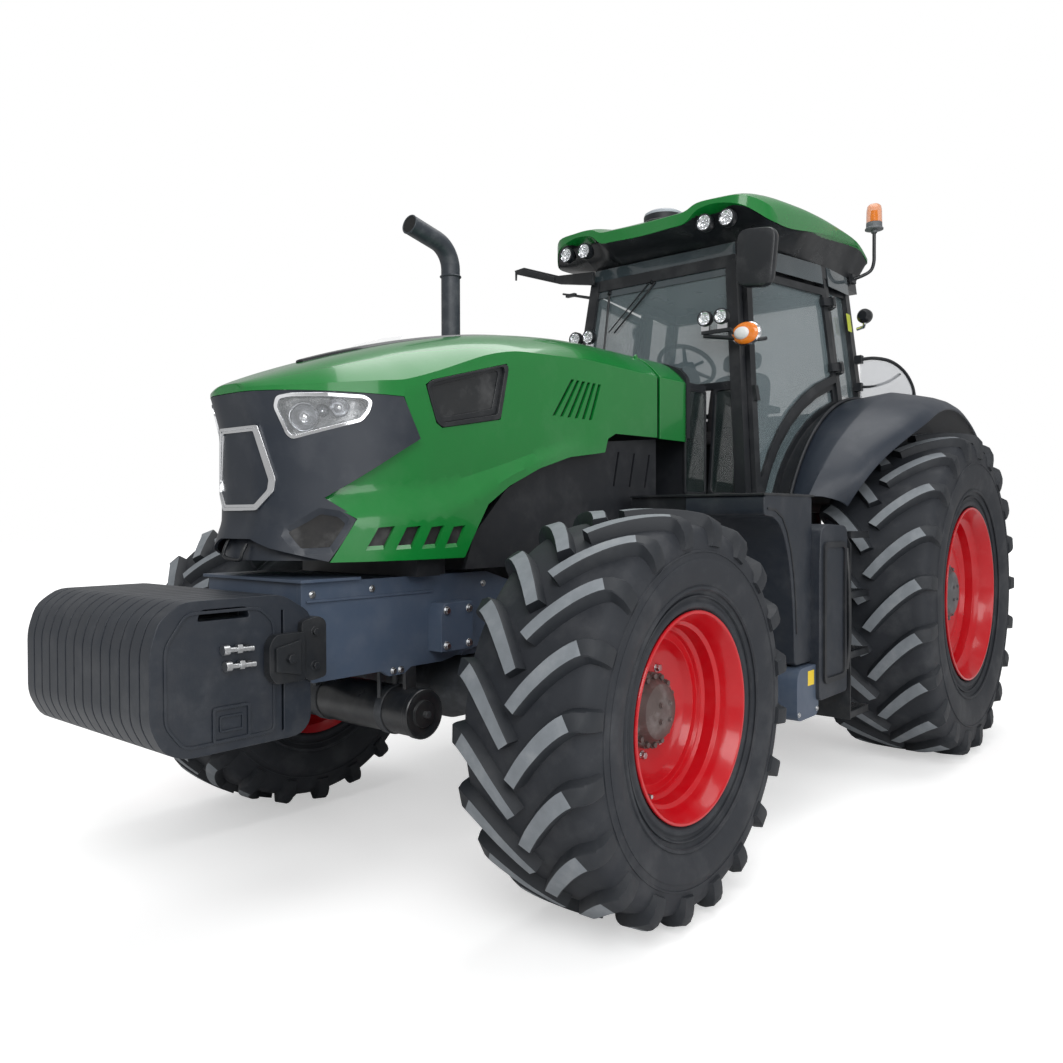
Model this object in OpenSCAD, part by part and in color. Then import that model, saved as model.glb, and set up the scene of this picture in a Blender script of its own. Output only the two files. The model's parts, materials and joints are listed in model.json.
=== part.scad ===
// Farm tractor with a front weight block, a hinged hood, a glazed cab and a rear linkage.
// X points forward, Y to the left and Z up. Places along X are counted from the rear axle.

/* [Wheels] */
// Distance between the front and rear axles
wheelbase = 3300; // [3200:10:3400]
// Distance between the middles of the front tyres
front_track = 2320; // [2280:10:2400]
// Distance between the middles of the rear tyres
rear_track = 2480; // [2440:10:2560]
// Front tyre diameter over its lugs
front_tyre_d = 1590; // [1540:10:1620]
// Front tyre width
front_tyre_w = 600; // [540:10:620]
// Front rim diameter over its flanges
front_rim_d = 812; // [780:2:840]
// Rear tyre diameter over its lugs
rear_tyre_d = 2100; // [2040:10:2120]
// Rear tyre width
rear_tyre_w = 720; // [660:10:740]
// Rear rim diameter over its flanges
rear_rim_d = 1118; // [1080:2:1150]
// Height of a tyre lug
lug_h = 45; // [30:1:60]
// Thickness of the rolled steel of a rim
rim_t = 14; // [10:1:20]

/* [Front axle] */
// Distance from the middle of the tractor to a steering pivot
kingpin_y = 940; // [920:5:960]
// Radius of a steering pivot pin
kingpin_r = 35; // [28:1:42]
// Height of the axle end that carries the pivot
kingpin_boss_h = 250; // [220:5:280]
// Radius of the axle beam near its ends
axle_beam_r = 85; // [70:1:100]
// Radius of the differential housing
axle_housing_r = 175; // [150:1:185]
// Length of a steering arm
steer_arm_l = 255; // [245:1:265]
// Radius of the tie rod
tie_rod_r = 18; // [14:1:22]

/* [Chassis] */
// Width of the front support over its side plates
support_w = 640; // [600:10:680]
// Height of the front support's top over the front axle
support_rise = 515; // [495:5:535]
// Height of the front support's side plates
support_h = 380; // [340:5:420]
// Front end of the front support ahead of the front axle
support_reach = 990; // [950:5:1030]
// Thickness of the front support's plates
support_t = 30; // [20:1:40]
// Distance from the front axle back to the engine block's front face
engine_setback = 220; // [180:10:300]
// Length of the engine block
engine_l = 1180; // [1100:10:1250]
// Width of the engine block
engine_w = 560; // [480:10:600]
// Height of the engine block
engine_h = 860; // [780:10:900]
// Width of the gearbox case
case_w = 540; // [480:10:580]
// Height of the gearbox case
case_h = 590; // [540:10:620]
// Radius of the rear axle trumpets
trumpet_r = 150; // [130:5:170]

/* [Weights] */
// Number of weight plates
weight_count = 14; // [10:1:16]
// Thickness of one weight plate
weight_t = 63; // [56:1:68]
// Gap between two weight plates
weight_gap = 3; // [2:0.5:6]
// Front face of the weight block ahead of the front axle
weight_reach = 1650; // [1600:10:1700]
// Length of a weight plate
weight_l = 600; // [560:5:620]
// Height of a weight plate
weight_h = 505; // [460:5:520]
// Distance from the front support's underside down to the weight block's underside
weight_drop = 145; // [130:5:160]

/* [Hood] */
// Width of the hood
hood_w = 920; // [880:10:960]
// Rear edge of the hood ahead of the rear axle
hood_rear_x = 2040; // [2020:5:2080]
// Foremost point of the nose ahead of the front axle
nose_reach = 1090; // [1060:5:1120]
// Height of the crown at the rear of the hood
hood_crown_z = 2490; // [2470:5:2510]
// Height of the lower edge of the hood's skirt
skirt_z = 1385; // [1370:5:1400]
// Thickness of the hood and nose mouldings
hood_t = 16; // [12:1:24]
// Gap between the hood and the cowl behind it
hood_gap = 30; // [28:1:34]
// Length of the cowl between the hood and the cab
cowl_l = 300; // [260:5:320]
// Outer diameter of the exhaust pipe
exhaust_d = 120; // [100:2:130]

/* [Cab] */
// Height of the roof's underside over the ground
cab_top_z = 3150; // [3130:5:3170]
// Height of the cab floor's underside over the ground
cab_floor_z = 1580; // [1570:5:1600]
// Thickness of the cab floor
cab_floor_t = 60; // [50:1:70]
// Thickness of the pillars
pillar_t = 70; // [60:1:80]
// Thickness of the glass
glass_t = 6; // [4:0.5:8]
// Width of the door's frame
door_frame_w = 48; // [40:1:60]
// Gap round a door
door_gap = 8; // [6:0.5:12]
// Distance from the wheel arch up to the lower edge of a door
door_lift = 150; // [140:5:170]
// Height of the roof cap over its underside
roof_h = 350; // [320:5:370]
// Width of the roof
roof_w = 1610; // [1560:10:1650]

/* [Fenders] */
// Clearance between a rear tyre and its fender
fender_gap = 235; // [220:5:245]
// Width of a fender
fender_w = 610; // [560:10:640]
// Thickness of a fender
fender_t = 14; // [10:1:20]

/* [Rear linkage] */
// Length of a lower link from its pivot to its ball
link_l = 1000; // [960:10:1040]
// Distance between the balls of the lower links
link_spread = 965; // [940:5:990]
// Radius of the bore of a lower link's ball
link_bore_r = 18.4; // [14:0.1:22]
// Length of a lift arm, and of the lower link up to its lift rod
lift_arm_l = 430; // [400:5:450]
// Radius of the power take-off shaft
pto_r = 22; // [17:0.5:26]
// Radius of the drawbar's pin hole
drawbar_pin_r = 16.5; // [14:0.5:20]

/* [Hidden] */
$fn = 48;

// Running and seating clearances
seat_gap = 0.3;
slide_gap = 1;

// Colours
charcoal = "#3b4048";
body_green = "#0d8a2e";
rim_red = "#d01226";
cast_grey = "#5d6678";
black = "#1c1f22";
steel = "#9a9da0";

// Axles
front_axle_z = front_tyre_d / 2;
rear_axle_z = rear_tyre_d / 2;
front_y = front_track / 2;
rear_y = rear_track / 2;

// Places that follow the front axle
support_front_x = wheelbase + support_reach;
support_top_z = front_axle_z + support_rise;
support_bottom_z = support_top_z - support_h;
engine_front_x = wheelbase - engine_setback;
engine_bottom_z = front_axle_z + 5;
weight_front_x = wheelbase + weight_reach;
weight_bottom_z = support_bottom_z - weight_drop;
nose_x = wheelbase + nose_reach;

// Rear linkage places
link_pivot_x = -250;
link_pivot_z = 700;
link_end_r = 44;
lift_shaft_x = link_pivot_x - 70;
lift_shaft_r = 45;
link_pin_r = 22;
link_y = link_spread / 2;
lift_shaft_z = link_pivot_z + 610;

// The middle of the whole length lies over the origin
rear_end_x = link_pivot_x - link_l - link_end_r;
middle_x = (weight_front_x + rear_end_x) / 2;
module from_axle() {
    translate([-middle_x, 0, 0])
        children();
}
module both_sides() {
    children();
    mirror([0, 1, 0])
        children();
}

// Both triangles of a face with four corners
function halves(f) = [[f[0], f[1], f[2]], [f[0], f[2], f[3]]];
// A closed solid between two grids of points, given as rows with as many points each
module grid_solid(over, under) {
    n = len(over);
    m = len(over[0]);
    facing = cross(over[1][0] - over[0][0], over[0][1] - over[0][0]) * (over[0][0] - under[0][0]) < 0;
    top = facing ? over : under;
    low = facing ? under : over;
    k = n * m;
    polyhedron(
        [for (rows = [top, low]) for (row = rows) each row],
        [
            for (i = [0 : n - 2]) for (j = [0 : m - 2])
                let (a = i * m + j)
                    each concat(
                        halves([a, a + m, a + m + 1, a + 1]),
                        halves([k + a, k + a + 1, k + a + m + 1, k + a + m])
                    ),
            for (i = [0 : n - 2])
                let (a = i * m, b = a + m - 1)
                    each concat(halves([a, k + a, k + a + m, a + m]), halves([b, b + m, k + b + m, k + b])),
            for (j = [0 : m - 2])
                let (a = j, b = (n - 1) * m + j)
                    each concat(halves([a, a + 1, k + a + 1, k + a]), halves([b, k + b, k + b + 1, b + 1]))
        ]
    );
}
// Cylinders along the tractor and across it, and a box from corner to corner
module rod_y(r, y0, y1) {
    translate([0, y0, 0])
        rotate([-90, 0, 0])
            cylinder(r = r, h = y1 - y0);
}
module rod_x(r, x0, x1) {
    translate([x0, 0, 0])
        rotate([0, 90, 0])
            cylinder(r = r, h = x1 - x0);
}
module box(low, high) {
    translate(low)
        cube(high - low);
}
// A plate with its outline in the side view, between two distances from the middle
module side_view(y0, y1) {
    translate([0, y1, 0])
        rotate([90, 0, 0])
            linear_extrude(y1 - y0)
                children();
}
// A plate with its outline across the tractor, between two places along it
module front_view(x0, x1) {
    translate([x0, 0, 0])
        rotate([90, 0, 90])
            linear_extrude(x1 - x0)
                children();
}
function rounded_box(x0, z0, x1, z1, r, steps = 5) = [
    for (c = [[x1 - r, z1 - r, 0], [x0 + r, z1 - r, 90], [x0 + r, z0 + r, 180], [x1 - r, z0 + r, 270]])
        for (i = [0 : steps])
            let (a = c[2] + 90 * i / steps)
                [c[0] + r * cos(a), c[1] + r * sin(a)]
];
// A slab between two outlines with as many points each
function middle(points, i = 0) =
    i == len(points) ? [0, 0, 0] : points[i] / len(points) + middle(points, i + 1);
function turning(points, i = 0) =
    i == len(points) ? [0, 0, 0] : cross(points[i], points[(i + 1) % len(points)]) + turning(points, i + 1);
function backwards(points) = [for (i = [len(points) - 1 : -1 : 0]) points[i]];
module slab(a, b) {
    n = len(a);
    facing = turning(a) * (middle(b) - middle(a)) > 0;
    near = facing ? a : backwards(a);
    far = facing ? b : backwards(b);
    polyhedron(
        concat(near, far),
        concat(
            [[for (i = [0 : n - 1]) i]],
            [[for (i = [n - 1 : -1 : 0]) n + i]],
            [for (i = [0 : n - 1]) [i, n + i, n + (i + 1) % n, (i + 1) % n]]
        )
    );
}
// A post between two level rectangles
module post(low, high, wx, wy) {
    corners = [[-1, -1], [-1, 1], [1, 1], [1, -1]];
    slab(
        [for (c = corners) low + [c[0] * wx / 2, c[1] * wy / 2, 0]],
        [for (c = corners) high + [c[0] * wx / 2, c[1] * wy / 2, 0]]
    );
}
// A flat pane through points, with its thickness along the pane's normal
module pane(points, t) {
    u = points[1] - points[0];
    v = points[2] - points[0];
    n = cross(u, v) / norm(cross(u, v));
    slab([for (p = points) p], [for (p = points) p - n * t]);
}

// Wheels
lug_count = 20;
// Triangles between two rings, each with two or four points for each pitch of the lugs
function strip(a, na, b, nb) =
    na == nb
        ? [for (i = [0 : na * lug_count - 1])
            let (j = (i + 1) % (na * lug_count))
                each halves([a + i, a + j, b + j, b + i])]
        : na < nb
            ? [for (i = [0 : na * lug_count - 1])
                let (j = (i + 1) % (na * lug_count), k = 2 * i, e = (2 * i + 2) % (nb * lug_count))
                    each [[a + i, b + k + 1, b + k], [a + i, a + j, b + k + 1], [a + j, b + e, b + k + 1]]]
            : [for (i = [0 : nb * lug_count - 1])
                let (j = (i + 1) % (nb * lug_count), k = 2 * i, e = (2 * i + 2) % (na * lug_count))
                    each [[a + k, a + k + 1, b + i], [a + k + 1, b + j, b + i], [a + k + 1, a + e, b + j]]];
// A tyre with two rows of slanting lugs, as rings from its inner bead to its outer one
module tyre(d, w, rim_d) {
    r = d / 2;
    body_r = r - lug_h;
    seat_r = (rim_d / 2 - 22) / cos(90 / lug_count);
    half = w / 2;
    wall_r = (seat_r + body_r) / 2 + 20;
    pitch = 360 / lug_count;
    sweep = 15 * front_tyre_d / d;
    // Each ring: place across, radius between lugs, radius on a lug, turn, points for each pitch
    side = [
        [half - 85, seat_r, seat_r, sweep, 2], [half, wall_r, wall_r, sweep, 2],
        [half - 22, r - 95, r - 70, sweep, 4], [half - 62, body_r - 12, r - 12, sweep, 4],
        [35, body_r, r, 0, 4]
    ];
    rings = concat(
        [for (q = side) concat([-q[0]], [for (i = [1 : 4]) q[i]])],
        [[0, body_r - 4, body_r - 4, 0, 2]],
        backwards(side)
    );
    // Where the points of a pitch lie, and which of them are on a lug, on either side of the middle
    left_marks = [0, 0.5, 0.63, 0.87];
    right_marks = [0, 0.13, 0.37, 0.5];
    places = [for (q = rings)
        [for (k = [0 : lug_count - 1]) for (i = [0 : q[4] - 1])
            let (
                left = q[0] > 0,
                mark = q[4] == 2 ? i / 2 : left ? left_marks[i] : right_marks[i],
                on_lug = left ? i > 1 : i == 1 || i == 2,
                radius = on_lug ? q[2] : q[1],
                a = pitch * (k + mark - right_marks[1]) + q[3] - 90
            )
                [radius * cos(a), q[0], radius * sin(a)]]];
    starts = [for (i = 0, sum = 0; i < len(rings); sum = sum + rings[i][4] * lug_count, i = i + 1) sum];
    last = len(rings) - 1;
    polyhedron(
        [for (ring = places) each ring],
        concat(
            [for (i = [0 : last - 1]) each strip(starts[i], rings[i][4], starts[i + 1], rings[i + 1][4])],
            strip(starts[last], 2, starts[0], 2)
        )
    );
}
// The dish faces away from the tractor, towards plus Y
module rim(d, w, hub_r, disc_y) {
    half = w / 2 - 40;
    seat_r = d / 2 - 22 - slide_gap;
    well_r = seat_r - 34;
    profile = [
        [d / 2, -half], [d / 2, -half + rim_t], [seat_r, -half + 42], [seat_r, -half + 110],
        [well_r, -half + 150], [well_r, half - 150], [seat_r, half - 110], [seat_r, half - 42],
        [d / 2, half - rim_t], [d / 2, half],
        [seat_r - rim_t, half], [seat_r - rim_t, half - 110],
        [well_r - rim_t, half - 150],
        [well_r - rim_t, disc_y + 60], [well_r - 60, disc_y + 30], [well_r - 90, disc_y + 26],
        [hub_r + 90, disc_y - 30], [hub_r + seat_gap, disc_y - 30],
        [hub_r + seat_gap, disc_y - 30 - rim_t], [hub_r + 80, disc_y - 30 - rim_t],
        [well_r - 84, disc_y + 26 - rim_t], [well_r - 50, disc_y + 30 - rim_t], [well_r - rim_t, disc_y],
        [well_r - rim_t, -half + 150], [seat_r - rim_t, -half + 110], [seat_r - rim_t, -half]
    ];
    rotate([-90, 0, 0])
        rotate_extrude($fn = 64)
            polygon([for (p = profile) [p[0], -p[1]]]);
}
// Places across the tractor, counted from the middle of a wheel
front_disc_y = 30;
rear_disc_y = 40;
front_hub_r = 150;
rear_hub_r = 190;
spindle_y = kingpin_y + 150 - front_y;
flange_y = 838 - rear_y;

module hub(r, inner_y, disc_y, dome) {
    // Drum behind the disc, then the bolted face
    rotate([-90, 0, 0])
        rotate_extrude($fn = 64)
            polygon([
                [0, inner_y], [r - 20, inner_y], [r, inner_y + 20], [r, disc_y - 8],
                [r - 12, disc_y + 14], [r * 0.72, disc_y + 22], [r * 0.6, disc_y + dome * 0.7],
                [r * 0.35, disc_y + dome], [0, disc_y + dome]
            ]);
}
module at_front_wheel() {
    from_axle()
        translate([wheelbase, front_y, front_axle_z])
            children();
}
module at_rear_wheel() {
    from_axle()
        translate([0, rear_y, rear_axle_z])
            children();
}
module tyre_fl() {
    color(black) at_front_wheel() tyre(front_tyre_d, front_tyre_w, front_rim_d);
}
module tyre_fr() {
    mirror([0, 1, 0]) tyre_fl();
}
module tyre_rl() {
    color(black) at_rear_wheel() tyre(rear_tyre_d, rear_tyre_w, rear_rim_d);
}
module tyre_rr() {
    mirror([0, 1, 0]) tyre_rl();
}
module rim_fl() {
    color(rim_red) at_front_wheel() rim(front_rim_d, front_tyre_w, front_hub_r, front_disc_y);
}
module rim_fr() {
    mirror([0, 1, 0]) rim_fl();
}
module rim_rl() {
    color(rim_red) at_rear_wheel() rim(rear_rim_d, rear_tyre_w, rear_hub_r, rear_disc_y);
}
module rim_rr() {
    mirror([0, 1, 0]) rim_rl();
}
module hub_fl() {
    color(cast_grey) at_front_wheel() hub(front_hub_r, spindle_y + slide_gap, front_disc_y, 70);
}
module hub_fr() {
    mirror([0, 1, 0]) hub_fl();
}
module hub_rl() {
    color(cast_grey) at_rear_wheel() hub(rear_hub_r, flange_y + slide_gap, rear_disc_y, 60);
}
module hub_rr() {
    mirror([0, 1, 0]) hub_rl();
}

// Chassis
case_top_z = 1240;
case_bottom_z = case_top_z - case_h;
case_rear_x = -430;
pto_z = 780;
engine_rear_x = engine_front_x - engine_l;
module transmission() {
    c = case_w / 2;
    chamfer = 70;
    color(cast_grey) from_axle() {
        difference() {
            front_view(case_rear_x, engine_rear_x - seat_gap)
                polygon([
                    [c, case_bottom_z + chamfer], [c, case_top_z - chamfer], [c - chamfer, case_top_z],
                    [chamfer - c, case_top_z], [-c, case_top_z - chamfer], [-c, case_bottom_z + chamfer],
                    [chamfer - c, case_bottom_z], [c - chamfer, case_bottom_z]
                ]);
            // Bearing of the power take-off shaft
            translate([0, 0, pto_z])
                rod_x(pto_r + seat_gap, case_rear_x - 10, case_rear_x + 60);
        }
        translate([0, 0, rear_axle_z])
            both_sides() {
                rod_y(trumpet_r, 0, rear_y + flange_y);
                rod_y(trumpet_r + 60, rear_y + flange_y - 45, rear_y + flange_y);
            }
        // Flange round the gearbox where the two castings meet
        front_view(700, 740)
            polygon(rounded_box(-c - 18, case_bottom_z - 18, c + 18, case_top_z + 18, 60));
        both_sides() {
            // Bearing of the lift shaft
            difference() {
                side_view(120, 180)
                    polygon([
                        [lift_shaft_x - 80, case_top_z - 10], [lift_shaft_x - 70, lift_shaft_z + 40],
                        [lift_shaft_x - 30, lift_shaft_z + 75], [lift_shaft_x + 30, lift_shaft_z + 75],
                        [lift_shaft_x + 70, lift_shaft_z + 40], [lift_shaft_x + 90, case_top_z - 10]
                    ]);
                translate([lift_shaft_x, 0, lift_shaft_z])
                    rod_y(lift_shaft_r + seat_gap, 100, 200);
            }
            // Boss and pin that carry a lower link
            translate([link_pivot_x, 0, link_pivot_z]) {
                rod_y(55, c - 80, link_y - 30 - slide_gap);
                rod_y(link_pin_r, c, link_y + 40);
            }
        }
    }
}
module engine() {
    color(cast_grey) from_axle()
        box([engine_rear_x, -engine_w / 2, engine_bottom_z],
            [engine_front_x, engine_w / 2, engine_bottom_z + engine_h]);
}
radiator_x = wheelbase + 340;
module radiator() {
    half = hood_w / 2 - 70;
    color(black) from_axle() {
        box([radiator_x, -half, support_top_z + seat_gap], [radiator_x + 130, half, 2010]);
        box([radiator_x - 90, -half + 60, support_top_z + seat_gap], [radiator_x, half - 60, 1900]);
    }
}
module front_support() {
    half = support_w / 2;
    color(cast_grey) from_axle() {
        both_sides()
            side_view(half - support_t, half)
                polygon([
                    [engine_front_x + seat_gap, support_bottom_z + 90],
                    [engine_front_x + seat_gap, support_top_z - 60],
                    [engine_front_x + 200, support_top_z], [support_front_x, support_top_z],
                    [support_front_x, support_bottom_z + 40], [support_front_x - 40, support_bottom_z],
                    [engine_front_x + 480, support_bottom_z]
                ]);
        box([support_front_x - support_t, support_t - half, support_bottom_z + 60],
            [support_front_x, half - support_t, support_top_z]);
        box([engine_front_x + 220, support_t - half, support_top_z - 25],
            [support_front_x - support_t, half - support_t, support_top_z]);
        box([engine_front_x + seat_gap, support_t - half, support_bottom_z + 100],
            [engine_front_x + 60, half - support_t, support_top_z - 70]);
        // Cradle that carries the pivot of the axle
        box([wheelbase - 110, support_t - half, front_axle_z + axle_housing_r + seat_gap],
            [wheelbase + 110, half - support_t, front_axle_z + axle_housing_r + 60]);
    }
}
module front_axle() {
    beam_end = kingpin_y - 60;
    profile = [
        [0, -beam_end], [axle_beam_r, -beam_end], [axle_beam_r, -420], [axle_housing_r * 0.75, -300],
        [axle_housing_r, -150], [axle_housing_r, 150], [axle_housing_r * 0.75, 300],
        [axle_beam_r, 420], [axle_beam_r, beam_end], [0, beam_end]
    ];
    color(cast_grey) from_axle()
        translate([wheelbase, 0, front_axle_z])
            difference() {
                union() {
                    rotate([-90, 0, 0])
                        rotate_extrude()
                            polygon(profile);
                    both_sides()
                        translate([0, kingpin_y, -kingpin_boss_h / 2])
                            cylinder(r = kingpin_r + 35, h = kingpin_boss_h);
                }
                both_sides()
                    translate([0, kingpin_y, -kingpin_boss_h])
                        cylinder(r = kingpin_r + seat_gap, h = 2 * kingpin_boss_h);
            }
}
knuckle_arm_t = 45;
tie_rod_z = -70;
module knuckle_l() {
    half = kingpin_boss_h / 2;
    color(cast_grey) from_axle()
        translate([wheelbase, kingpin_y, front_axle_z]) {
            for (side = [-1, 1]) {
                translate([0, 0, side * (half / 2 + 25)])
                    cylinder(r = kingpin_r, h = half, center = true);
                translate([0, 0, side * (half + slide_gap + knuckle_arm_t / 2)])
                    linear_extrude(knuckle_arm_t, center = true)
                        polygon([[-80, -45], [-45, -80], [45, -80], [80, -45], [80, 110], [-80, 110]]);
            }
            // Ring that joins both arms and carries the spindle
            difference() {
                rod_y(half + slide_gap + knuckle_arm_t, 88, 150);
                rod_y(60, 80, 90);
            }
            // Steering arm with the eye for the tie rod
            translate([0, 0, tie_rod_z]) {
                difference() {
                    union() {
                        box([-steer_arm_l, -22, -52], [-90, 22, -22]);
                        box([-120, -22, -52], [-90, 100, -22]);
                        translate([-steer_arm_l, 0, -52])
                            cylinder(r = 34, h = 30);
                    }
                    translate([-steer_arm_l, 0, -60])
                        cylinder(r = 12 + seat_gap, h = 60);
                }
            }
        }
}
module knuckle_r() {
    mirror([0, 1, 0]) knuckle_l();
}
module tie_rod() {
    color(steel) from_axle()
        translate([wheelbase - steer_arm_l, 0, front_axle_z + tie_rod_z]) {
            rod_y(tie_rod_r, -kingpin_y, kingpin_y);
            both_sides()
                translate([0, kingpin_y, -44])
                    cylinder(r = 12, h = 44);
        }
}
module air_tank() {
    color(black) from_axle()
        translate([wheelbase + 440, 0, support_bottom_z - 190]) {
            rod_y(105, -390, 390);
            both_sides()
                rod_y(85, 390, 402);
            both_sides()
                box([-30, support_w / 2 - support_t + 2, 60], [30, support_w / 2 - 2, 190 - seat_gap]);
        }
}
module front_weights() {
    pitch = weight_t + weight_gap;
    back = weight_front_x - weight_l;
    top = weight_bottom_z + weight_h;
    color(charcoal) from_axle()
        for (i = [0 : weight_count - 1])
            let (y = (i - weight_count / 2) * pitch + weight_gap / 2)
                side_view(y, y + weight_t)
                    polygon([
                        [back, weight_bottom_z + 20], [back + 20, weight_bottom_z],
                        [weight_front_x - 90, weight_bottom_z],
                        [weight_front_x - 30, weight_bottom_z + 18], [weight_front_x, weight_bottom_z + 80],
                        [weight_front_x, top - 110], [weight_front_x - 30, top - 40],
                        [weight_front_x - 100, top], [back + 110, top], [back, top - 60],
                        [back, weight_bottom_z + 330], [back + 55, weight_bottom_z + 330],
                        [back + 55, weight_bottom_z + 250], [back, weight_bottom_z + 250]
                    ]);
}
module weight_clamp() {
    back = weight_front_x - weight_l;
    half = weight_count * (weight_t + weight_gap) / 2;
    low = weight_bottom_z + 250;
    color(black) from_axle() {
        // Carrier rail that the weights hook over
        box([back + seat_gap, -half, low + seat_gap], [back + 55 - seat_gap, half, low + 80 - seat_gap]);
        box([support_front_x + seat_gap, -half, low - 30], [back - seat_gap, half, low + 110]);
        box([back - seat_gap, -half, low + 2], [back + seat_gap, half, low + 78]);
    }
}

// Hood: a loft of cross sections, each given by its place, crown, shoulder, width and lower edge
function mix(a, b, t) = a + (b - a) * t;
function lerp_table(table, x, i = 0) =
    x <= table[0][0] ? table[0][1] :
    i >= len(table) - 1 ? table[len(table) - 1][1] :
    x <= table[i + 1][0]
        ? mix(table[i][1], table[i + 1][1], (x - table[i][0]) / (table[i + 1][0] - table[i][0]))
        : lerp_table(table, x, i + 1);
nose_drop = 420;
nose_top_z = 2040;
hood_front_x = nose_x - 505;
// The green side ends in an arrow over the dark nose: its notch, its tip and the foot of its front edge
hood_cut_x = nose_x - 591;
notch_z = 1877;
arrow_tip = [nose_x - 175, 1630];
arrow_mouth = [nose_x - 304, 1550];
arrow_foot = [nose_x - 208, skirt_z];
hood_bend_x = nose_x - 2090;
nose_tip_w = 80;
nose_taper_l = 740;
function crown_z(x) =
    hood_crown_z - nose_drop * pow(max(0, (x - hood_bend_x) / (nose_x - hood_bend_x)), 2.1);
function shoulder_z(x) =
    lerp_table([
        [hood_rear_x + 80, 2326], [nose_x - 1712, 2336], [nose_x - 1157, 2305], [nose_x - 974, 2264],
        [nose_x - 661, 2150], [hood_front_x, 2102], [nose_x - 140, 2058], [nose_x, 2050]
    ], x);
// Half the hood's width in the top view, rounded off towards the nose
function half_w(x) =
    let (t = min(1, max(0, (x - nose_x + nose_taper_l) / nose_taper_l)))
        nose_tip_w + (hood_w / 2 - nose_tip_w) * pow(1 - pow(t, 2.6), 0.6);
function lower_z(x) =
    x > hood_cut_x + 1 ? lerp_table([[hood_cut_x + 2, notch_z], [hood_front_x, nose_top_z]], x) :
    lerp_table([
        [hood_rear_x - 340, 2010], [hood_rear_x + 10, 2000], [nose_x - 1970, 1975], [nose_x - 1490, 1880],
        [nose_x - 1140, 1700], [nose_x - 910, 1480], [nose_x - 850, skirt_z]
    ], x);
hood_steps = 10;
// Left half of a cross section, from the crown to the lower edge
function half_section(x, inset) =
    let (
        low = lower_z(x), w = half_w(x) - inset, cz = crown_z(x) - inset,
        sz = max(low + 2, shoulder_z(x) - inset)
    )
        concat(
            [for (i = [0 : hood_steps])
                let (a = 90 * i / hood_steps)
                    [x, w * pow(sin(a), 0.9), sz + (cz - sz) * pow(max(0, cos(a)), 0.9)]],
            [[x, w, low]]
        );
function full_section(x, inset) =
    let (h = half_section(x, inset), n = len(h))
        concat([for (i = [n - 1 : -1 : 1]) [h[i][0], -h[i][1], h[i][2]]], h);
// A closed solid through rings, each a wall given by its outer line and its inner line backwards
module ring_loft(ring_list) {
    n = len(ring_list);
    m = len(ring_list[0]);
    facing = turning(ring_list[0]) * (middle(ring_list[n - 1]) - middle(ring_list[0])) > 0;
    rings = [for (r = ring_list) facing ? backwards(r) : r];
    polyhedron(
        [for (ring = rings) each ring],
        concat(
            [for (j = [0 : m / 2 - 2]) [m - 1 - j, m - 2 - j, j + 1, j]],
            [for (j = [0 : m / 2 - 2])
                let (b = (n - 1) * m)
                    [b + j, b + j + 1, b + m - 2 - j, b + m - 1 - j]],
            [for (k = [0 : n - 2]) for (j = [0 : m - 1])
                let (a = k * m + j, b = k * m + (j + 1) % m)
                    each halves([a, b, b + m, a + m])]
        )
    );
}
// A shell through the cross sections, open below
module hood_loft(stations) {
    ring_loft([for (x = stations) concat(full_section(x, 0), backwards(full_section(x, hood_t)))]);
}
// Hinge of the hood, just under the skin at its rear edge
hood_hinge_x = hood_rear_x + 15;
hood_hinge_z = hood_crown_z - 40;
hood_hinge_y = 150;
hood_pin_r = 8;
// The green arrow, whose rear end is lapped into the hood's wall
arrow_lap = 6;
module arrow() {
    slope = (arrow_tip[1] - notch_z) / (arrow_tip[0] - hood_cut_x);
    places = concat(
        [[hood_cut_x - arrow_lap, 2], [hood_cut_x, 2], [hood_cut_x + 4, 0], [hood_front_x, 0]],
        [for (back = [410, 310, 220]) [nose_x - back, 0]],
        [[arrow_tip[0] + 10, 0]]
    );
    top = function (q) notch_z + slope * max(0, q[0] - hood_cut_x) - q[1];
    reach = 0.3;
    difference() {
        grid_solid(
            [for (q = places) [for (z = [skirt_z, top(q)]) [q[0], half_w(q[0]) - q[1], z]]],
            [for (q = places) [for (z = [skirt_z, top(q)]) [q[0], half_w(q[0]) - hood_t + q[1], z]]]
        );
        side_view(100, hood_w / 2 + 20)
            polygon([
                arrow_mouth, arrow_tip + reach * (arrow_tip - arrow_mouth),
                arrow_tip + [90, 24], [arrow_tip[0] + 90, skirt_z - 50],
                arrow_foot + reach * (arrow_foot - arrow_mouth)
            ]);
    }
}
// Side window, slanting louvre slots and the vents along the skirt
side_window = [
    for (p = [[610, 2094], [644, 2117], [1104, 2240], [1119, 2218], [1083, 1990], [721, 1927], [686, 1945]])
        [nose_x - p[0], p[1]]
];
louvre_slots = 6;
skirt_vents = 4;
module hood_openings() {
    polygon(side_window);
    for (i = [0 : louvre_slots - 1])
        polygon([
            [nose_x - 1600 - 44 * i, 2225], [nose_x - 1576 - 44 * i, 2223],
            [nose_x - 1441 - 56 * i, 2037], [nose_x - 1465 - 56 * i, 2040]
        ]);
    for (i = [0 : skirt_vents - 1])
        translate([nose_x - 458 - 126 * i, 0])
            polygon([[0, 1522], [72, 1516], [124, 1428], [50, 1431]]);
}
hood_stations = concat(
    [hood_rear_x, hood_rear_x + 210],
    [for (back = [1890, 1640, 1390, 1190, 1040, 910, 850, 690]) nose_x - back],
    [hood_cut_x, hood_cut_x + 2, hood_front_x],
    [for (back = [410, 310, 220, 140, 80, 40, 15, 0]) nose_x - back]
);
wall_table = [for (x = hood_stations) [x, half_w(x) - hood_t - seat_gap]];
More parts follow.
